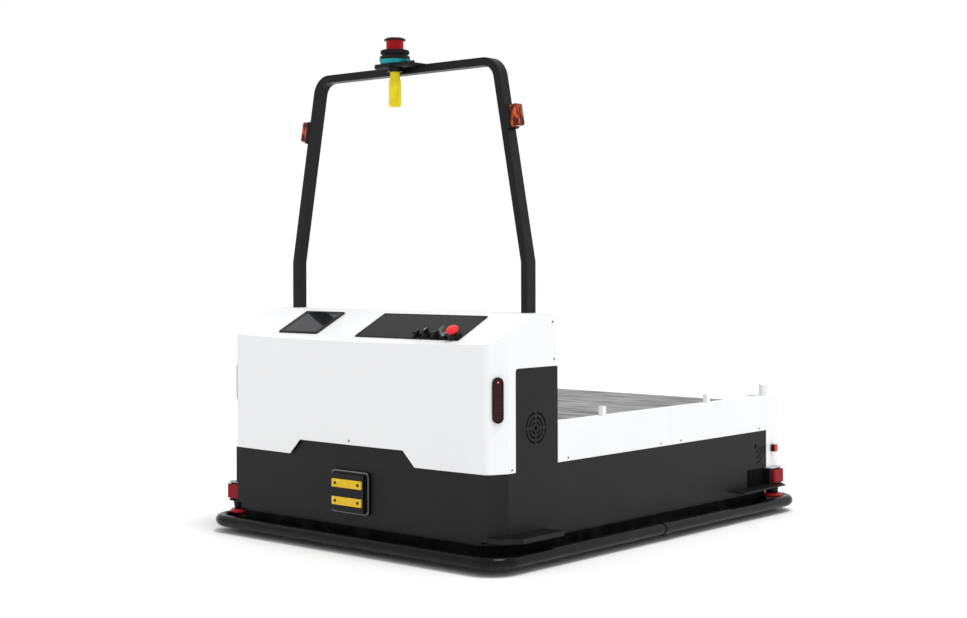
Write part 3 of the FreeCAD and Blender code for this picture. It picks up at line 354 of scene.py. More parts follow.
# ------------------------------------------------------------------ geometry-node trees
class Tree:
    """A geometry-node tree written step by step, with named inputs."""

    def __init__(self, name, inputs):
        self.tree = bpy.data.node_groups.new(name, "GeometryNodeTree")
        self.tree.interface.new_socket(name="Geometry", in_out="INPUT", socket_type="NodeSocketGeometry")
        self.ids = {}
        for label, (kind, value) in inputs.items():
            made = self.tree.interface.new_socket(name=label, in_out="INPUT", socket_type=kind)
            if value is not None:
                made.default_value = value
            self.ids[label] = made.identifier
        self.tree.interface.new_socket(name="Geometry", in_out="OUTPUT", socket_type="NodeSocketGeometry")
        self.start = self.tree.nodes.new("NodeGroupInput")

    def input(self, label):
        return self.start.outputs[label]

    def add(self, kind, settings=None, values=None, output=0):
        made = self.tree.nodes.new(kind)
        for key, value in (settings or {}).items():
            setattr(made, key, value)
        for key, value in (values or {}).items():
            if isinstance(value, bpy.types.NodeSocket):
                self.tree.links.new(value, made.inputs[key])
            else:
                made.inputs[key].default_value = value
        return made.outputs[output]

    def times(self, first, second):
        return self.add("ShaderNodeMath", {"operation": "MULTIPLY"}, {0: first, 1: second})

    def vector(self, x, y, z):
        return self.add("ShaderNodeCombineXYZ", None, {0: x, 1: y, 2: z})

    def dressed(self, geometry, finish):
        return self.add("GeometryNodeSetMaterial", None, {"Geometry": geometry, "Material": finish})

    def joined(self, parts):
        made = self.tree.nodes.new("GeometryNodeJoinGeometry")
        for part in parts:
            self.tree.links.new(part, made.inputs[0])
        return made.outputs[0]

    def scattered(self, shape, finish=None):
        """Put the shape on every point, turned by the point's own rotation, as one plain mesh."""
        turn = self.add("GeometryNodeInputNamedAttribute", {"data_type": "FLOAT_VECTOR"}, {"Name": "turn"})
        rotation = self.add("FunctionNodeEulerToRotation", None, {0: turn})
        placed = self.add("GeometryNodeInstanceOnPoints", None,
                          {"Points": self.start.outputs[0], "Instance": shape, "Rotation": rotation})
        real = self.add("GeometryNodeRealizeInstances", None, {"Geometry": placed})
        if finish is not None:
            real = self.dressed(real, finish)
        end = self.tree.nodes.new("NodeGroupOutput")
        self.tree.links.new(real, end.inputs[0])
        return self


def fastener_tree():
    t = Tree("socket_screws", {"Head radius": ("NodeSocketFloat", 0.004), "Head height": ("NodeSocketFloat", 0.0016),
                               "Socket share": ("NodeSocketFloat", 0.5), "Head finish": ("NodeSocketMaterial", None),
                               "Socket finish": ("NodeSocketMaterial", None)})
    radius, height = t.input("Head radius"), t.input("Head height")
    head = t.add("GeometryNodeMeshCone", {"fill_type": "NGON"},
                 {"Vertices": 20, "Radius Top": t.times(radius, 0.78), "Radius Bottom": radius, "Depth": height})
    # the socket is not cut: a thin hexagon in the socket finish sits on the head, painted shade in place of the
    # recess
    hexagon = t.add("GeometryNodeMeshCylinder", {"fill_type": "NGON"},
                    {"Vertices": 6, "Radius": t.times(radius, t.input("Socket share")), "Depth": 0.0003})
    lifted = t.add("GeometryNodeTransform", None,
                   {"Geometry": hexagon, "Translation": t.vector(0.0, 0.0, height)})
    both = t.joined([t.dressed(head, t.input("Head finish")), t.dressed(lifted, t.input("Socket finish"))])
    return t.scattered(both)


def block_tree():
    t = Tree("bars", {"Size": ("NodeSocketVector", None), "Finish": ("NodeSocketMaterial", None)})
    bar = t.add("GeometryNodeMeshCube", None, {"Size": t.input("Size")})
    return t.scattered(bar, t.input("Finish"))


def ring_tree():
    t = Tree("rings", {"Ring radius": ("NodeSocketFloat", 0.03), "Wire radius": ("NodeSocketFloat", 0.002),
                       "Finish": ("NodeSocketMaterial", None)})
    path = t.add("GeometryNodeCurvePrimitiveCircle", None, {"Resolution": 40, "Radius": t.input("Ring radius")})
    wire = t.add("GeometryNodeCurvePrimitiveCircle", None, {"Resolution": 8, "Radius": t.input("Wire radius")})
    ring = t.add("GeometryNodeCurveToMesh", None, {"Curve": path, "Profile Curve": wire})
    return t.scattered(ring, t.input("Finish"))


def belt_tree():
    t = Tree("belts", {"Pitch": ("NodeSocketFloat", 0.1), "Radius": ("NodeSocketFloat", 0.04),
                       "Width": ("NodeSocketFloat", 0.012), "Thickness": ("NodeSocketFloat", 0.002),
                       "Finish": ("NodeSocketMaterial", None)})
    double = t.times(t.input("Radius"), 2.0)
    span = t.add("ShaderNodeMath", {"operation": "ADD"}, {0: t.input("Pitch"), 1: double})
    outline = t.add("GeometryNodeCurvePrimitiveQuadrilateral", {"mode": "RECTANGLE"},
                    {"Width": span, "Height": double})
    round_ends = t.add("GeometryNodeFilletCurve", {"mode": "POLY"},
                       {"Curve": outline, "Count": 12, "Radius": t.times(t.input("Radius"), 0.998)})
    section = t.add("GeometryNodeCurvePrimitiveQuadrilateral", {"mode": "RECTANGLE"},
                    {"Width": t.input("Thickness"), "Height": t.input("Width")})
    belt = t.add("GeometryNodeCurveToMesh", None, {"Curve": round_ends, "Profile Curve": section})
    return t.scattered(belt, t.input("Finish"))


def lens_tree():
    t = Tree("small_lamps", {"Radius": ("NodeSocketFloat", 0.003), "Finish": ("NodeSocketMaterial", None)})
    ball = t.add("GeometryNodeMeshUVSphere", None, {"Segments": 12, "Rings": 8, "Radius": t.input("Radius")})
    flat = t.add("GeometryNodeTransform", None, {"Geometry": ball, "Scale": (1.0, 1.0, 0.6)})
    return t.scattered(flat, t.input("Finish"))


TREES = {}


def tree(kind):
    """The tree of one kind, built at its first use."""
    if kind not in TREES:
        TREES[kind] = {"screw": fastener_tree, "bar": block_tree, "ring": ring_tree, "belt": belt_tree,
                       "lamp": lens_tree}[kind]()
    return TREES[kind]


def scatter(name, places, kind, values, body, smooth=35.0):
    """Run a tree on a set of placements and keep the result as one plain mesh."""
    recipe = tree(kind)
    cloud = bpy.data.meshes.new(name + "_points")
    cloud.from_pydata([tuple(m.to_translation()) for m in places], [], [])
    turn = cloud.attributes.new("turn", "FLOAT_VECTOR", "POINT")
    turn.data.foreach_set("vector", [c for m in places for c in m.to_euler("XYZ")])
    carrier = bpy.data.objects.new(name + "_points", cloud)
    bpy.context.scene.collection.objects.link(carrier)
    modifier = carrier.modifiers.new("tree", "NODES")
    modifier.node_group = recipe.tree
    for label, value in values.items():
        modifier[recipe.ids[label]] = FINISH[value] if isinstance(value, str) else value
    view = bpy.context.evaluated_depsgraph_get()
    view.update()
    mesh = bpy.data.meshes.new_from_object(carrier.evaluated_get(view))
    mesh.name = name
    bpy.data.objects.remove(carrier)
    if "turn" in mesh.attributes:
        mesh.attributes.remove(mesh.attributes["turn"])
    used = [material for material in mesh.materials if material]
    which = [used.index(mesh.materials[face.material_index]) for face in mesh.polygons]
    mesh.materials.clear()
    for material in used:
        mesh.materials.append(material)
    mesh.polygons.foreach_set("material_index", which)
    settle(name, mesh, body, smooth)


def screws(name, places, radius, height, finish="screw_steel", body="chassis", share=0.5):
    """Socket screws of one size at a list of placements."""
    scatter(name, places, "screw", {"Head radius": radius, "Head height": height, "Socket share": share,
                                    "Head finish": finish, "Socket finish": "painted_hole_shade"}, body)


def bars(name, places, size, finish, body="chassis"):
    """Small flat-sided bars of one size at a list of placements."""
    scatter(name, places, "bar", {"Size": size, "Finish": finish}, body, smooth=0)


def middle_x(node):
    """Where a node's middle lies across the robot."""
    low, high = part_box(node)
    return (low.x + high.x) / 2


# ------------------------------------------------------------------ user settings
class RobotColours(bpy.types.PropertyGroup):
    white: bpy.props.FloatVectorProperty(name="Cover white", description="Colour of the tower cover and rails",
                                         subtype="COLOR", size=3, default=(0.83, 0.835, 0.845))
    dark: bpy.props.FloatVectorProperty(name="Panel grey", description="Colour of the dark panels",
                                        subtype="COLOR", size=3, default=(0.0085, 0.0085, 0.0092))
    frame: bpy.props.FloatVectorProperty(name="Frame black", description="Colour of hoop and frame",
                                         subtype="COLOR", size=3, default=(0.004, 0.004, 0.0043))
    grip: bpy.props.FloatVectorProperty(name="Grip yellow", description="Colour of the hand grip",
                                        subtype="COLOR", size=3, default=(0.80, 0.66, 0.012))
    contact: bpy.props.FloatVectorProperty(name="Contact yellow", description="Colour of the charging strips",
                                           subtype="COLOR", size=3, default=(0.76, 0.47, 0.008))


class RobotSizes(bpy.types.PropertyGroup):
    screw_radius: bpy.props.FloatProperty(name="Screw head radius", description="Radius of the cover screws",
                                          unit="LENGTH", default=0.0045, min=0.001)
    belt_width: bpy.props.FloatProperty(name="Belt width", description="Width of a roller drive belt",
                                        unit="LENGTH", default=0.012, min=0.002)
    key_strength: bpy.props.FloatProperty(name="Key light", description="Strength of the studio's soft sun",
                                          default=1.62, min=0.0)
    side_power: bpy.props.FloatProperty(name="Side light", description="Power of the panel lamp beside the deck",
                                        unit="POWER", default=22.0, min=0.0)


# ------------------------------------------------------------------ operators
class ROBOT_OT_finishes(bpy.types.Operator):
    """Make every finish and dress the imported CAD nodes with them"""
    bl_idname = "robot.finishes"
    bl_label = "Finishes"

    def execute(self, context):
        colours = context.scene.robot_colours
        coated("white_cover_paint", colours.white, 0.36, 900.0, 0.00003, 0.012, coat=0.15)
        coated("dark_panel_paint", colours.dark, 0.55, 1100.0, 0.00009, 0.08, sheen=0.22)
        coated("frame_powder_coat", colours.frame, 0.42, 800.0, 0.00007, 0.10, sheen=0.2)
        coated("plinth_paint", (0.0015, 0.0015, 0.0016), 0.6, 700.0, 0.00008, 0.1, sheen=0.05)
        rubber("bumper_rubber", (0.0025, 0.0025, 0.0027), 0.2)
        rubber("tyre_rubber", (0.02, 0.02, 0.021), 0.68)
        rubber("caster_tyre", (0.05, 0.05, 0.052), 0.6)
        metal("roller_steel", (0.44, 0.44, 0.445), 0.40, (0.03, 1.0, 1.0), contrast=0.5)
        metal("zinc_steel", (0.56, 0.57, 0.58), 0.36, (1.0, 1.0, 1.0), 0.5)
        metal("turned_steel", (0.62, 0.62, 0.63), 0.3, (3.0, 0.3, 0.3))
        metal("screw_steel", (0.34, 0.34, 0.35), 0.38, (1.0, 1.0, 1.0))
        moulded("black_plastic", (0.006, 0.006, 0.0065), 0.42, sheen=0.2)
        moulded("gloss_black", (0.003, 0.003, 0.0032), 0.2, depth=0.00001, sheen=0.2)
        moulded("light_grey_lid", (0.42, 0.43, 0.44), 0.45)
        moulded("teal_collar", (0.008, 0.30, 0.33), 0.36, sheen=0.15)
        moulded("red_window", (0.40, 0.004, 0.006), 0.2, depth=0.000001, grain=90.0, glass=0.08, sheen=0.12)
        moulded("lamp_red", (0.035, 0.005, 0.005), 0.2, depth=0.00001, glass=0.2, sheen=0.15)
        moulded("scanner_red", (0.28, 0.006, 0.012), 0.3, depth=0.00001, sheen=0.1)
        moulded("disc_red", (0.60, 0.022, 0.03), 0.26, depth=0.00001)
        # amber lens: dark tint with painted orange glints
        signal_lens("amber_lens", (0.085, 0.006, 0.002), (0.95, 0.15, 0.015), 0.25)
        moulded("lamp_amber", (0.80, 0.13, 0.012), 0.3, depth=0.00001, glow=0.12)
        moulded("estop_red", (0.86, 0.028, 0.030), 0.34, depth=0.00002)
        moulded("grip_yellow", colours.grip, 0.4, depth=0.00005, grain=900.0)
        moulded("post_lamp_red", (0.72, 0.014, 0.014), 0.2, depth=0.00001, glow=0.05)
        moulded("led_red", (1.0, 0.12, 0.08), 0.2, depth=0.00001, glow=0.35)
        moulded("led_dim", (0.055, 0.007, 0.006), 0.3, depth=0.00001, sheen=0.15)
        moulded("mark_white", (0.75, 0.75, 0.74), 0.4)
        moulded("belt_black", (0.02, 0.02, 0.02), 0.6)
        moulded("battery_case", (0.05, 0.055, 0.06), 0.5, sheen=0.4)
        # painted shade: near black standing in for the shade inside screw sockets, and for the dark holes the contact
        # screws sit in
        moulded("painted_hole_shade", (0.01, 0.01, 0.01), 0.6)
        moulded("bright_edge", (0.035, 0.034, 0.032), 0.14, depth=0.000004, sheen=1.0, coat=1.0)
        worn_brass("contact_brass", colours.contact)
        screen_glass("display_glass")
        wire_mesh("vent_shade_screen")
        dress = {
            "white_cover_paint": ["upper_cover", "tower_rear_panel", "corner_posts", "side_rails"],
            "dark_panel_paint": ["lower_cover", "side_panel_left", "side_panel_right", "rear_panel"],
            "frame_powder_coat": ["mast_hoop", "lidar_bracket", "deck_frame", "drive_units", "base_frame"],
            "plinth_paint": ["plinth_ring"],
            "bumper_rubber": ["bumper_front", "bumper_rear"],
            "tyre_rubber": ["drive_wheel_left", "drive_wheel_right"],
            "black_plastic": ["lidar_body", "beacon_bases", "control_plate", "mode_selector", "start_button",
                              "reset_button", "scanner_bodies"],
            "gloss_black": ["touchscreen", "charge_housing", "lamp_bezels", "lidar_rotor"],
            "teal_collar": ["lidar_collar"], "red_window": ["lidar_window"], "lamp_red": ["lamp_lenses"],
            "scanner_red": ["scanner_covers"], "amber_lens": ["beacon_lenses"], "estop_red": ["estop_button"],
            "grip_yellow": ["mast_grip"], "contact_brass": ["charge_contacts"], "screw_steel": ["key_switch"],
            "zinc_steel": [], "battery_case": ["battery_pack"],
        }
        for i in range(1, 5):
            dress["zinc_steel"].append(f"caster_fork_{i}")
            dress.setdefault("caster_tyre", []).append(f"caster_wheel_{i}")
        dress["roller_steel"] = [n for n in NODES if n.startswith("roller_")]
        left = set(NODES)
        for finish, names in dress.items():
            for name in names:
                slots = NODES[name].data.materials
                slots.clear()
                slots.append(FINISH[finish])
                left.discard(name)
        if left:
            raise RuntimeError(f"nodes without a finish: {sorted(left)}")
        return {"FINISHED"}


class ROBOT_OT_cover_screws(bpy.types.Operator):
    """Socket screws along the covers, rails, posts and panels"""
    bl_idname = "robot.cover_screws"
    bl_label = "Cover screws"

    def execute(self, context):
        low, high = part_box("upper_cover")
        rail_low, rail_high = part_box("side_rails")
        front, back = low.y, high.y
        length = rail_high.y - rail_low.y
        post = (back - 0.019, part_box("side_panel_right")[1].z + 0.024)
        spots = [(front + 0.102, low.z + EDGE_RISE), (back - 0.026, high.z - 0.028), post]
        spots += [(rail_low.y + y, rail_low.z + EDGE_RISE)
                  for y in (0.055, length / 2 - 0.064, length / 2 + 0.064, length - 0.052)]
        places = [facing((side * high.x, y, z), (side, 0, 0), 17 * i)
                  for side in (-1, 1) for i, (y, z) in enumerate(spots)]
        middle = [facing((0.0, front - 0.0002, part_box("lower_cover")[1].z + 0.0145), (0, -1, 0))]
        rear_low, rear_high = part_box("rear_panel")
        rear = [facing((side * x, rear_high.y, z), (0, 1, 0)) for side in (-1, 1)
                for x in (0.1, 0.3, 0.5) for z in (rear_low.z + 0.02, rear_high.z - 0.02)]
        tower_low, tower_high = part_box("tower_rear_panel")
        rear += [facing((side * x, tower_high.y, z), (0, 1, 0)) for side in (-1, 1)
                 for x in (0.05, 0.34, 0.62) for z in (tower_high.z - 0.02, tower_low.z + 0.15)]
        for name, group in (("cover_screws", places), ("front_screw", middle), ("rear_screws", rear)):
            screws(name, group, context.scene.robot_sizes.screw_radius, COVER_SCREW_HEAD)
        return {"FINISHED"}


class ROBOT_OT_console(bpy.types.Operator):
    """Display glass, frames, switch caps, knurls and the emergency stop's head on the sloping console"""
    bl_idname = "robot.console"
    bl_label = "Console"

    def execute(self, context):
        normal = Vector((0, -math.sin(SLOPE), math.cos(SLOPE)))
        along = Vector((0, math.cos(SLOPE), math.sin(SLOPE)))
        crest = Vector((0, *CREST))
        turn = Matrix((Vector((1, 0, 0)), along, normal)).transposed().to_4x4()

        def on_slope(x, s, lift=0.0):
            return Matrix.Translation(crest + along * s + normal * lift + Vector((x, 0, 0))) @ turn

        low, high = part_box("touchscreen")
        width, screen = high.x - low.x, on_slope(middle_x("touchscreen"), SCREEN_START + SCREEN_RUN / 2)
        piece("display_panel", "display_glass", "black_plastic",
              (pad, width - SCREEN_BORDER, SCREEN_RUN - SCREEN_BORDER, 0.004, 0.0012, 0.0038, screen, 0.0006))
        piece("display_frame", "black_plastic", "black_plastic",
              (frame_ring, width + 0.003, SCREEN_RUN + 0.003, 0.006, 0.006, 0.0004, 0.0062, screen))
        low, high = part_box("control_plate")
        width, x = high.x - low.x, middle_x("control_plate")
        piece("control_plate_edge", "frame_powder_coat", "black_plastic",
              (frame_ring, width + 0.002, PLATE_RUN + 0.002, 0.004, 0.0035, 0.0005, 0.0043,
               on_slope(x, PLATE_MIDDLE)))
        corners = [on_slope(x + side * width / 2 * 0.955, s, 0.0033) for side in (-1, 1) for s in (0.03, 0.173)]
        screws("control_plate_screws", corners, 0.0035, 0.0014, "gloss_black")
        for label in ("start", "reset"):
            profile = [(r, CAP_FOOT + z) for r, z in CAP]
            piece(label + "_cap", "gloss_black", "black_plastic",
                  (lathe, profile, on_slope(middle_x(label + "_button"), SWITCH_ROW), 32), body=label)
        piece("mode_pointer", "mark_white", "black_plastic",
              (pad, 0.0018, 0.016, 0.0008, 0.0276, 0.0283, on_slope(middle_x("mode_selector"), SWITCH_ROW + 0.003)),
              body="mode")
        knurls = []
        for label in ("start_button", "mode_selector", "reset_button", "key_switch"):
            knurls += around(on_slope(middle_x(label), SWITCH_ROW), 20, 0.0171, 0.0062)
        bars("bezel_knurls", knurls, (0.0012, 0.0024, 0.0052), "black_plastic")
        stop = on_slope(middle_x("estop_button"), SWITCH_ROW)
        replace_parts(piece("estop_head", "estop_red", "red_plastic",
                          (lathe, [(r, ESTOP_FOOT + z) for r, z in ESTOP], stop, 56),
                          body="estop", smooth=40), "estop_button")
        bars("estop_flutes", around(stop, 24, 0.0203, ESTOP_FOOT + 0.0085), (0.0012, 0.0022, 0.007), "estop_red",
             "estop")
        return {"FINISHED"}


class ROBOT_OT_lamps(bpy.types.Operator):
    """Lamp clusters behind the facet lenses, the beacons' insides and the post lamps' faces"""
    bl_idname = "robot.lamps"
    bl_label = "Lamps"

    def execute(self, context):
        low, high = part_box("lamp_bezels")
        middle = (low.z + high.z) / 2
        last = LED_ROWS - 1
        places, top = [], []
        for side in (-1, 1):
            normal = Vector((side * math.sin(FACET), -math.cos(FACET), 0))
            across = Vector((math.cos(FACET), side * math.sin(FACET), 0))
            centre = Vector((side * FACET_MIDDLE[0], FACET_MIDDLE[1], middle))
            for row in range(LED_ROWS):
                for column in (-1, 0, 1):
                    if row in (0, last) and column:
                        continue
                    up = Vector((0, 0, (row - last // 2) * LED_RISE))
                    where = centre + up + across * column * LED_STEP + normal * LED_DEPTH
                    (top if row == last else places).append(facing(where, normal))
        scatter("lamp_cluster", places, "lamp", {"Radius": 0.0026, "Finish": "led_dim"}, "chassis")
        scatter("lamp_sign", top, "lamp", {"Radius": 0.0032, "Finish": "led_red"}, "chassis")
        low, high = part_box("beacon_lenses")
        ribs, fixings = [], []
        for side, label in SIDES:
            out = Vector((side * math.cos(LEAN), 0, math.sin(LEAN)))
            up = Vector((-side * math.sin(LEAN), 0, math.cos(LEAN)))
            turn = Matrix((out, Vector((0, 1, 0)), up)).transposed().to_4x4()
            foot = Vector((side * BEACON[0], (low.y + high.y) / 2, BEACON[1]))
            ribs += [Matrix.Translation(foot + out * 0.0462 + up * ((i - 4) * 0.0082)) @ turn for i in range(9)]
            fixings += [facing(foot + out * 0.010 + up * z + Vector((0, -0.0232, 0)), (0, -1, 0))
                        for z in (-0.034, 0.034)]
            piece(f"beacon_bulb_{label}", "lamp_amber", "amber_lens",
                  (lathe, BULB, facing(foot + out * 0.0165, out), 24))
        bars("beacon_ribs", ribs, (0.0016, 0.030, 0.0022), "amber_lens")
        screws("beacon_screws", fixings, 0.003, 0.0014, "gloss_black")
        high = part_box("lamp_lenses")[1]
        for side, label in SIDES:
            place = facing((side * (high.x + 0.0001), high.y - 0.012, POST_LAMP), (side, 0, 0))
            piece(f"post_lamp_{label}", "post_lamp_red", "red_window",
                  (pad, 0.021, 0.025, 0.003, 0.0, 0.0016, place, 0.0008))
        return {"FINISHED"}


class ROBOT_OT_roller_belts(bpy.types.Operator):
    """Flat drive belts that link neighbouring deck rollers near their left ends"""
    bl_idname = "robot.roller_belts"
    bl_label = "Roller belts"

    def execute(self, context):
        boxes = [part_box(n) for n in sorted(NODES) if n.startswith("roller_")]
        centres = [(low + high) / 2 for low, high in boxes]
        low, high = boxes[0]
        radius = (high.z - low.z) / 2
        pitch = centres[1].y - centres[0].y
        turn = Matrix(((0, 0, 1, 0), (1, 0, 0, 0), (0, 1, 0, 0), (0, 0, 0, 1)))
        places = []
        for i, (first, second) in enumerate(zip(centres, centres[1:])):
            middle = (first + second) / 2
            places.append(Matrix.Translation((BELT_LANES[i % 2], middle.y, middle.z)) @ turn)
        scatter("roller_belts", places, "belt",
                {"Pitch": pitch, "Radius": radius + 0.0016, "Width": context.scene.robot_sizes.belt_width,
                 "Thickness": 0.002, "Finish": "belt_black"}, "chassis", smooth=30)
        return {"FINISHED"}


class ROBOT_OT_charge_contact(bpy.types.Operator):
    """Screws, inner bead and frame edge of the charging contact"""
    bl_idname = "robot.charge_contact"
    bl_label = "Charging contact"

    def execute(self, context):
        low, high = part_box("charge_contacts")
        centre_z = (low.z + high.z) / 2
        places = [facing((x, low.y - 0.0001, centre_z + z), (0, -1, 0), 15)
                  for z in (-0.0305, 0.0305) for x in (-0.056, 0.056)]
        # near-black heads: painted shade of the screw holes in the contact strips
        screws("contact_screws", places, 0.006, 0.001, "painted_hole_shade", "chassis", 0.55)
        place = facing((0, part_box("charge_housing")[0].y + HOUSING_RIM, centre_z), (0, -1, 0))
        piece("contact_bead", "gloss_black", "black_plastic",
              (frame_ring, 0.160, 0.132, 0.010, 0.004, 0.0, 0.003, place))
        piece("contact_frame_edge", "bright_edge", "black_plastic",
              (frame_ring, 0.1815, 0.1475, 0.014, 0.0055, -0.004, 0.0016, place))
        return {"FINISHED"}


class ROBOT_OT_scanners(bpy.types.Operator):
    """Lids, junction boxes and red discs of the two corner scanners"""
    bl_idname = "robot.scanners"
    bl_label = "Corner scanners"

    def execute(self, context):
        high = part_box("scanner_bodies")[1]
        root, reach, depth, axis_x, axis_y = SCANNER
        for label, side in (("rear", 1), ("front", -1)):
            x0, x1 = root * side, reach * side
            y1 = side * (high.y + 0.010)
            y0 = y1 - side * depth
            piece(f"scanner_lid_{label}", "light_grey_lid", "grey_plastic",
                  (pad, abs(x1 - x0) - 0.006, abs(y1 - y0) - 0.006, 0.008, high.z + 0.0002, high.z + 0.0034,
                   Matrix.Translation(((x0 + x1) / 2, (y0 + y1) / 2, 0)), 0.0012))
            inner = y0 - side * 0.004
            outer = inner - side * 0.124
            piece(f"scanner_junction_{label}", "plinth_paint", "black_plastic",
                  (pad, 0.060, abs(outer - inner), 0.004, high.z - 0.0614, high.z + 0.0020,
                   Matrix.Translation((side * 0.6200, (outer + inner) / 2, 0)), 0.0015))
            piece(f"scanner_disc_{label}", "disc_red", "red_plastic",
                  (lathe, DISC, Matrix.Translation((axis_x * side, axis_y * side, 0)), 48), smooth=50)
        return {"FINISHED"}


class ROBOT_OT_vents(bpy.types.Operator):
    """Woven screens behind the round vents, the tower's louvres and the rear opening, near black as painted shade for
    the insides
    """
    bl_idname = "robot.vents"
    bl_label = "Vent screens"

    def execute(self, context):
        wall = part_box("side_panel_right")[1].x - 0.0062
        for side, label in SIDES:
            sheets = [(pad, size, size, 0.01, 0.0, SCREEN_SHEET, facing((side * wall, y, z), (side, 0, 0)))
                      for size, (y, z) in zip((0.115, 0.150), VENTS)]
            piece(f"vent_shade_screen_{label}", "vent_shade_screen", "black_plastic", *sheets)
        for name, panel, width, height, gap, z in (("tower_screen", "tower_rear_panel", 0.62, 0.22, 0.003, 0.62),
                                                   ("rear_screen", "rear_panel", 0.26, 0.10, 0.0015, 0.22)):
            place = facing((0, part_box(panel)[0].y - gap, z), (0, 1, 0))
            piece(name, "vent_shade_screen", "black_plastic", (pad, width, height, 0.01, 0.0, SCREEN_SHEET, place))
        return {"FINISHED"}


class ROBOT_OT_lidar_details(bpy.types.Operator):
    """Ribs, seals and connector of the lidar head, and the grip's smooth sleeve"""
    bl_idname = "robot.lidar_details"
    bl_label = "Lidar details"

    def execute(self, context):
        low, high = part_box("lidar_body")
        window_low, window_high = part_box("lidar_window")
        axis = Vector(((low.x + high.x) / 2, (low.y + high.y) / 2, 0))
        foot = Matrix.Translation(axis + Vector((0, 0, low.z + 0.0265)))
        bars("lidar_ribs", around(foot, 40, 0.0503), (0.0016, 0.0028, 0.011), "black_plastic")
        rings = [facing(axis + Vector((0, 0, z)), (0, 0, 1)) for z in (window_low.z + 0.0012, window_high.z - 0.0012)]
        scatter("lidar_seals", rings, "ring", {"Ring radius": 0.0312, "Wire radius": 0.001, "Finish": "gloss_black"},
                "chassis")
        out = Vector((0.75, 0.66, 0))
        root = axis + out * 0.0525 + Vector((0, 0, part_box("lidar_collar")[0].z + 0.0065))
        piece("lidar_connector", "gloss_black", "black_plastic", (lathe, CONNECTOR, facing(root, out), 20))
        foot = Matrix.Translation(axis + Vector((0, 0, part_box("mast_grip")[0].z)))
        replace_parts(piece("grip_sleeve", "grip_yellow", "yellow_grip", (lathe, SLEEVE, foot, 56), smooth=40),
                    "mast_grip")
        return {"FINISHED"}


class ROBOT_OT_wheel_details(bpy.types.Operator):
    """Hub plates and bolts of the drive wheels"""
    bl_idname = "robot.wheel_details"
    bl_label = "Wheel details"

    def execute(self, context):
        for side, label in SIDES:
            low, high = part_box("drive_wheel_" + label)
            centre = (low + high) / 2
            x = high.x if side > 0 else low.x
            piece("hub_plate_" + label, "turned_steel", "bare_steel",
                  (lathe, HUB_PLATE, facing((x, centre.y, centre.z), (side, 0, 0)), 40), body="wheel_" + label)
            bolts = []
            for i in range(5):
                a = 2 * math.pi * i / 5
                y, z = centre.y + BOLT_CIRCLE * math.cos(a), centre.z + BOLT_CIRCLE * math.sin(a)
                bolts.append(facing((x + side * 0.004, y, z), (side, 0, 0), 20 * i))
            screws("hub_bolts_" + label, bolts, 0.0045, 0.004, body="wheel_" + label, share=0.55)
        return {"FINISHED"}


class ROBOT_OT_studio(bpy.types.Operator):
    """White studio: floor, soft light, world and camera"""
    bl_idname = "robot.studio"
    bl_label = "Studio"

    def execute(self, context):
        scene = context.scene
        bm = bmesh.new()
        bmesh.ops.create_grid(bm, x_segments=1, y_segments=1, size=FLOOR_HALF)
        mesh = bpy.data.meshes.new("floor")
        bm.to_mesh(mesh)
        bm.free()
        floor = bpy.data.objects.new("floor", mesh)
        scene.collection.objects.link(floor)
        p = Paint("studio_floor")
        p.set(color=(0.87, 0.87, 0.87, 1.0), rough=0.9, specular=0.0)
        mesh.materials.append(p.material)
        world = bpy.data.worlds.new("studio_world")
        world.use_nodes = True
        scene.world = world
        nodes, links = world.node_tree.nodes, world.node_tree.links
        nodes.clear()
        light = nodes.new("ShaderNodeBackground")
        light.inputs[0].default_value = (1.0, 1.0, 1.0, 1.0)
        light.inputs[1].default_value = WORLD_STRENGTH
        seen = nodes.new("ShaderNodeBackground")
        seen.inputs[0].default_value = (1.0, 1.0, 1.0, 1.0)
        path = nodes.new("ShaderNodeLightPath")
        mixer = nodes.new("ShaderNodeMixShader")
        end = nodes.new("ShaderNodeOutputWorld")
        links.new(path.outputs["Is Camera Ray"], mixer.inputs[0])
        links.new(light.outputs[0], mixer.inputs[1])
        links.new(seen.outputs[0], mixer.inputs[2])
        links.new(mixer.outputs[0], end.inputs[0])
        sun = bpy.data.lights.new("soft_sun", "SUN")
        sun.energy = context.scene.robot_sizes.key_strength
        sun.angle = math.radians(SUN_SPREAD)
        lamp = bpy.data.objects.new("soft_sun", sun)
        lamp.rotation_euler = Vector(SUN_SIDE).to_track_quat("Z", "Y").to_euler()
        scene.collection.objects.link(lamp)
        panel = bpy.data.lights.new("side_panel_lamp", "AREA")
        panel.shape = "RECTANGLE"
        panel.size, panel.size_y = 6.0, 4.0
        panel.energy = context.scene.robot_sizes.side_power
        lamp = bpy.data.objects.new("side_panel_lamp", panel)
        lamp.location = PANEL_PLACE
        lamp.rotation_euler = (Vector(PANEL_PLACE) - Vector((0, 0, 0.6))).to_track_quat("Z", "Y").to_euler()
        scene.collection.objects.link(lamp)
        lens = bpy.data.cameras.new("camera")
        lens.sensor_width = SENSOR
        lens.lens = FOCAL_RATIO * SENSOR
        lens.shift_y = VIEW_SHIFT
        camera = bpy.data.objects.new("camera", lens)
        camera.location = CAMERA_PLACE
        camera.rotation_euler = [math.radians(a) for a in CAMERA_TURN]
        scene.collection.objects.link(camera)
        scene.camera = camera
        scene.view_settings.view_transform = "Standard"
        return {"FINISHED"}


class ROBOT_PT_panel(bpy.types.Panel):
    """Buttons for every group of pieces"""
    bl_idname = "ROBOT_PT_panel"
    bl_label = "Transport robot"
    bl_space_type = "VIEW_3D"
    bl_region_type = "UI"
    bl_category = "Robot"

    def draw(self, context):
        for group in (context.scene.robot_colours, context.scene.robot_sizes):
            for name in group.__annotations__:
                self.layout.prop(group, name)
        for operator in OPERATORS:
            self.layout.operator(operator.bl_idname)


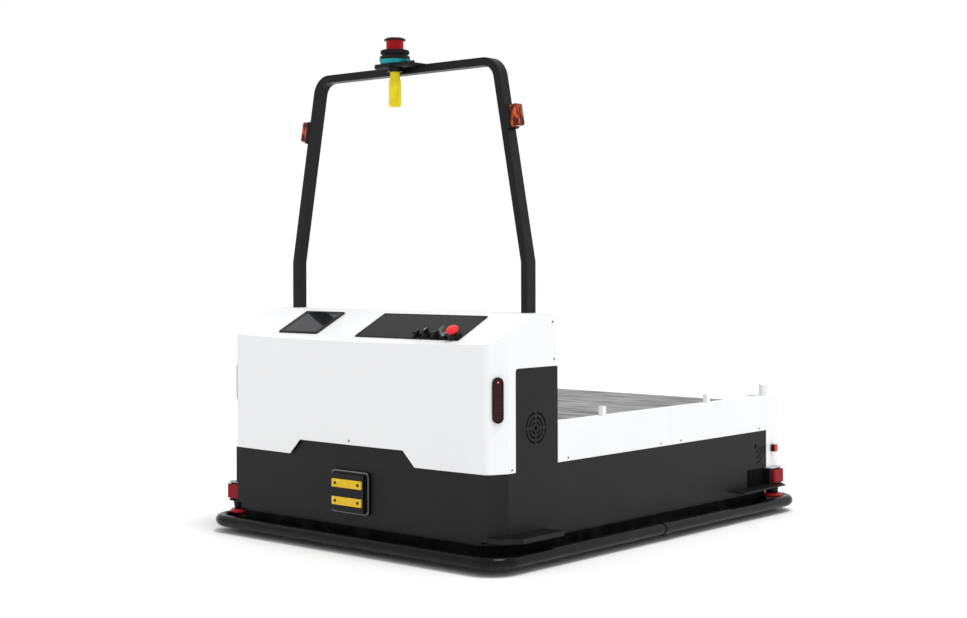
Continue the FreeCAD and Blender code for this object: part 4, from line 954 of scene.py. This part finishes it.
# ------------------------------------------------------------------ places on the robot, in metres
SIDES = ((-1, "left"), (1, "right"))
SLOPE = math.atan2(0.095, 0.190)                    # tilt of the console
CREST = (-0.867, 0.730)                             # y and z of the edge below the console
SWITCH_ROW = 0.039                                  # from that edge up the slope
SCREEN_START, SCREEN_RUN = 0.028, 0.154             # the touchscreen's place up the slope
SCREEN_BORDER = 0.027                               # bezel at both sides together
PLATE_MIDDLE, PLATE_RUN = 0.1015, 0.165             # the control plate's place up the slope
CAP_FOOT, ESTOP_FOOT = 0.0133, 0.0213               # feet of the caps above the slope
FACET = math.atan2(0.067, 0.032)                    # turn of the front facets
FACET_MIDDLE = (0.634, -0.8335)                     # x and y of a facet's middle
LED_ROWS, LED_RISE, LED_STEP = 11, 0.0115, 0.0085   # lamps of a cluster: rows, rise and step across
LED_DEPTH = 0.0056                                  # from a facet's middle to its lamps
LEAN = math.atan2(0.132, 0.697)                     # lean of the hoop's legs
BEACON = (0.581 - 0.487 * 0.132 / 0.697, 1.484)     # x and z of a beacon's foot
POST_LAMP = 0.253                                   # height of the rear post lamps
BELT_LANES = (-0.542, -0.560)                       # x of the drive belts, in turn
SCANNER = (0.566, 0.682, 0.090, 0.650, 0.819)       # inner and outer x, depth, axis x and y
VENTS = ((-0.659, 0.451), (0.698, 0.269))           # y and z of the front and rear vents
SCREEN_SHEET = 0.001                                # thickness of the woven screens
HOUSING_RIM = 0.0125                                # charging block's face to its rim
BOLT_CIRCLE = 0.025                                 # radius of the hub bolts' circle
COVER_SCREW_HEAD = 0.0016
EDGE_RISE = 0.011                                   # cover screws above a lower edge

# ------------------------------------------------------------------ turned shapes: radius and height
CAP = ((0.0095, 0.0075), (0.0115, 0.0092), (0.0105, 0.0098), (0.0, 0.0088))
ESTOP = ((0.0, -0.029), (0.008, -0.029), (0.008, 0.0), (0.0135, 0.0), (0.0182, 0.0018), (0.0200, 0.0048),
         (0.0204, 0.009), (0.0197, 0.0130), (0.0175, 0.0165), (0.0135, 0.0190), (0.0075, 0.0203), (0.0, 0.0206))
BULB = ((0.0, 0.0), (0.011, 0.0), (0.011, 0.003), (0.006, 0.009), (0.006, 0.019), (0.0, 0.023))
DISC = ((0.0235, 0.0755), (0.0245, 0.0766), (0.0345, 0.0766), (0.0386, 0.0730), (0.0394, 0.069),
        (0.0386, 0.0650), (0.0345, 0.0614), (0.0, 0.0612))
CONNECTOR = ((0.0, 0.0), (0.0048, 0.0), (0.0048, 0.009), (0.0060, 0.0092), (0.0060, 0.0165), (0.0040, 0.018),
             (0.0, 0.018))
SLEEVE = ((0.0, 0.0), (0.0155, 0.0), (0.0195, 0.0015), (0.0216, 0.005), (0.022, 0.010), (0.022, 0.0835),
          (0.0214, 0.090), (0.0192, 0.098), (0.0178, 0.103), (0.017, 0.110), (0.017, 0.1237),
          (0.009, 0.1237), (0.009, 0.150), (0.0, 0.150))
HUB_PLATE = ((0.0165, 0.0), (0.034, 0.0), (0.034, 0.002), (0.030, 0.004), (0.0165, 0.004))

# ------------------------------------------------------------------ studio
FLOOR_HALF = 30.0
WORLD_STRENGTH = 0.83
SUN_SPREAD = 22.0                                   # degrees across
SUN_SIDE = (0.30, 0.0, 0.95)                        # towards the sun
PANEL_PLACE = (5.6, 5.4, 2.6)
CAMERA_PLACE = (3.9108, -4.6265, 0.991)
CAMERA_TURN = (90.0, 0.155, 41.32)                  # degrees
SENSOR = 36.0                                       # millimetres across
VIEW_WIDTH = 967
FOCAL_RATIO = 1565.87 / VIEW_WIDTH                  # focal length over the view's width
VIEW_SHIFT = (263.35 - 309) / VIEW_WIDTH

OPERATORS = (ROBOT_OT_finishes, ROBOT_OT_cover_screws, ROBOT_OT_console, ROBOT_OT_lamps, ROBOT_OT_roller_belts,
             ROBOT_OT_charge_contact, ROBOT_OT_scanners, ROBOT_OT_vents, ROBOT_OT_lidar_details,
             ROBOT_OT_wheel_details, ROBOT_OT_studio)
CLASSES = (RobotColours, RobotSizes) + OPERATORS + (ROBOT_PT_panel,)


def register():
    for made in CLASSES:
        bpy.utils.register_class(made)
    bpy.types.Scene.robot_colours = bpy.props.PointerProperty(type=RobotColours)
    bpy.types.Scene.robot_sizes = bpy.props.PointerProperty(type=RobotSizes)


def unregister():
    del bpy.types.Scene.robot_sizes
    del bpy.types.Scene.robot_colours
    for made in reversed(CLASSES):
        bpy.utils.unregister_class(made)


def main():
    register()
    for operator in OPERATORS:
        group, name = operator.bl_idname.split(".")
        getattr(getattr(bpy.ops, group), name)()


if __name__ == "__main__":
    main()
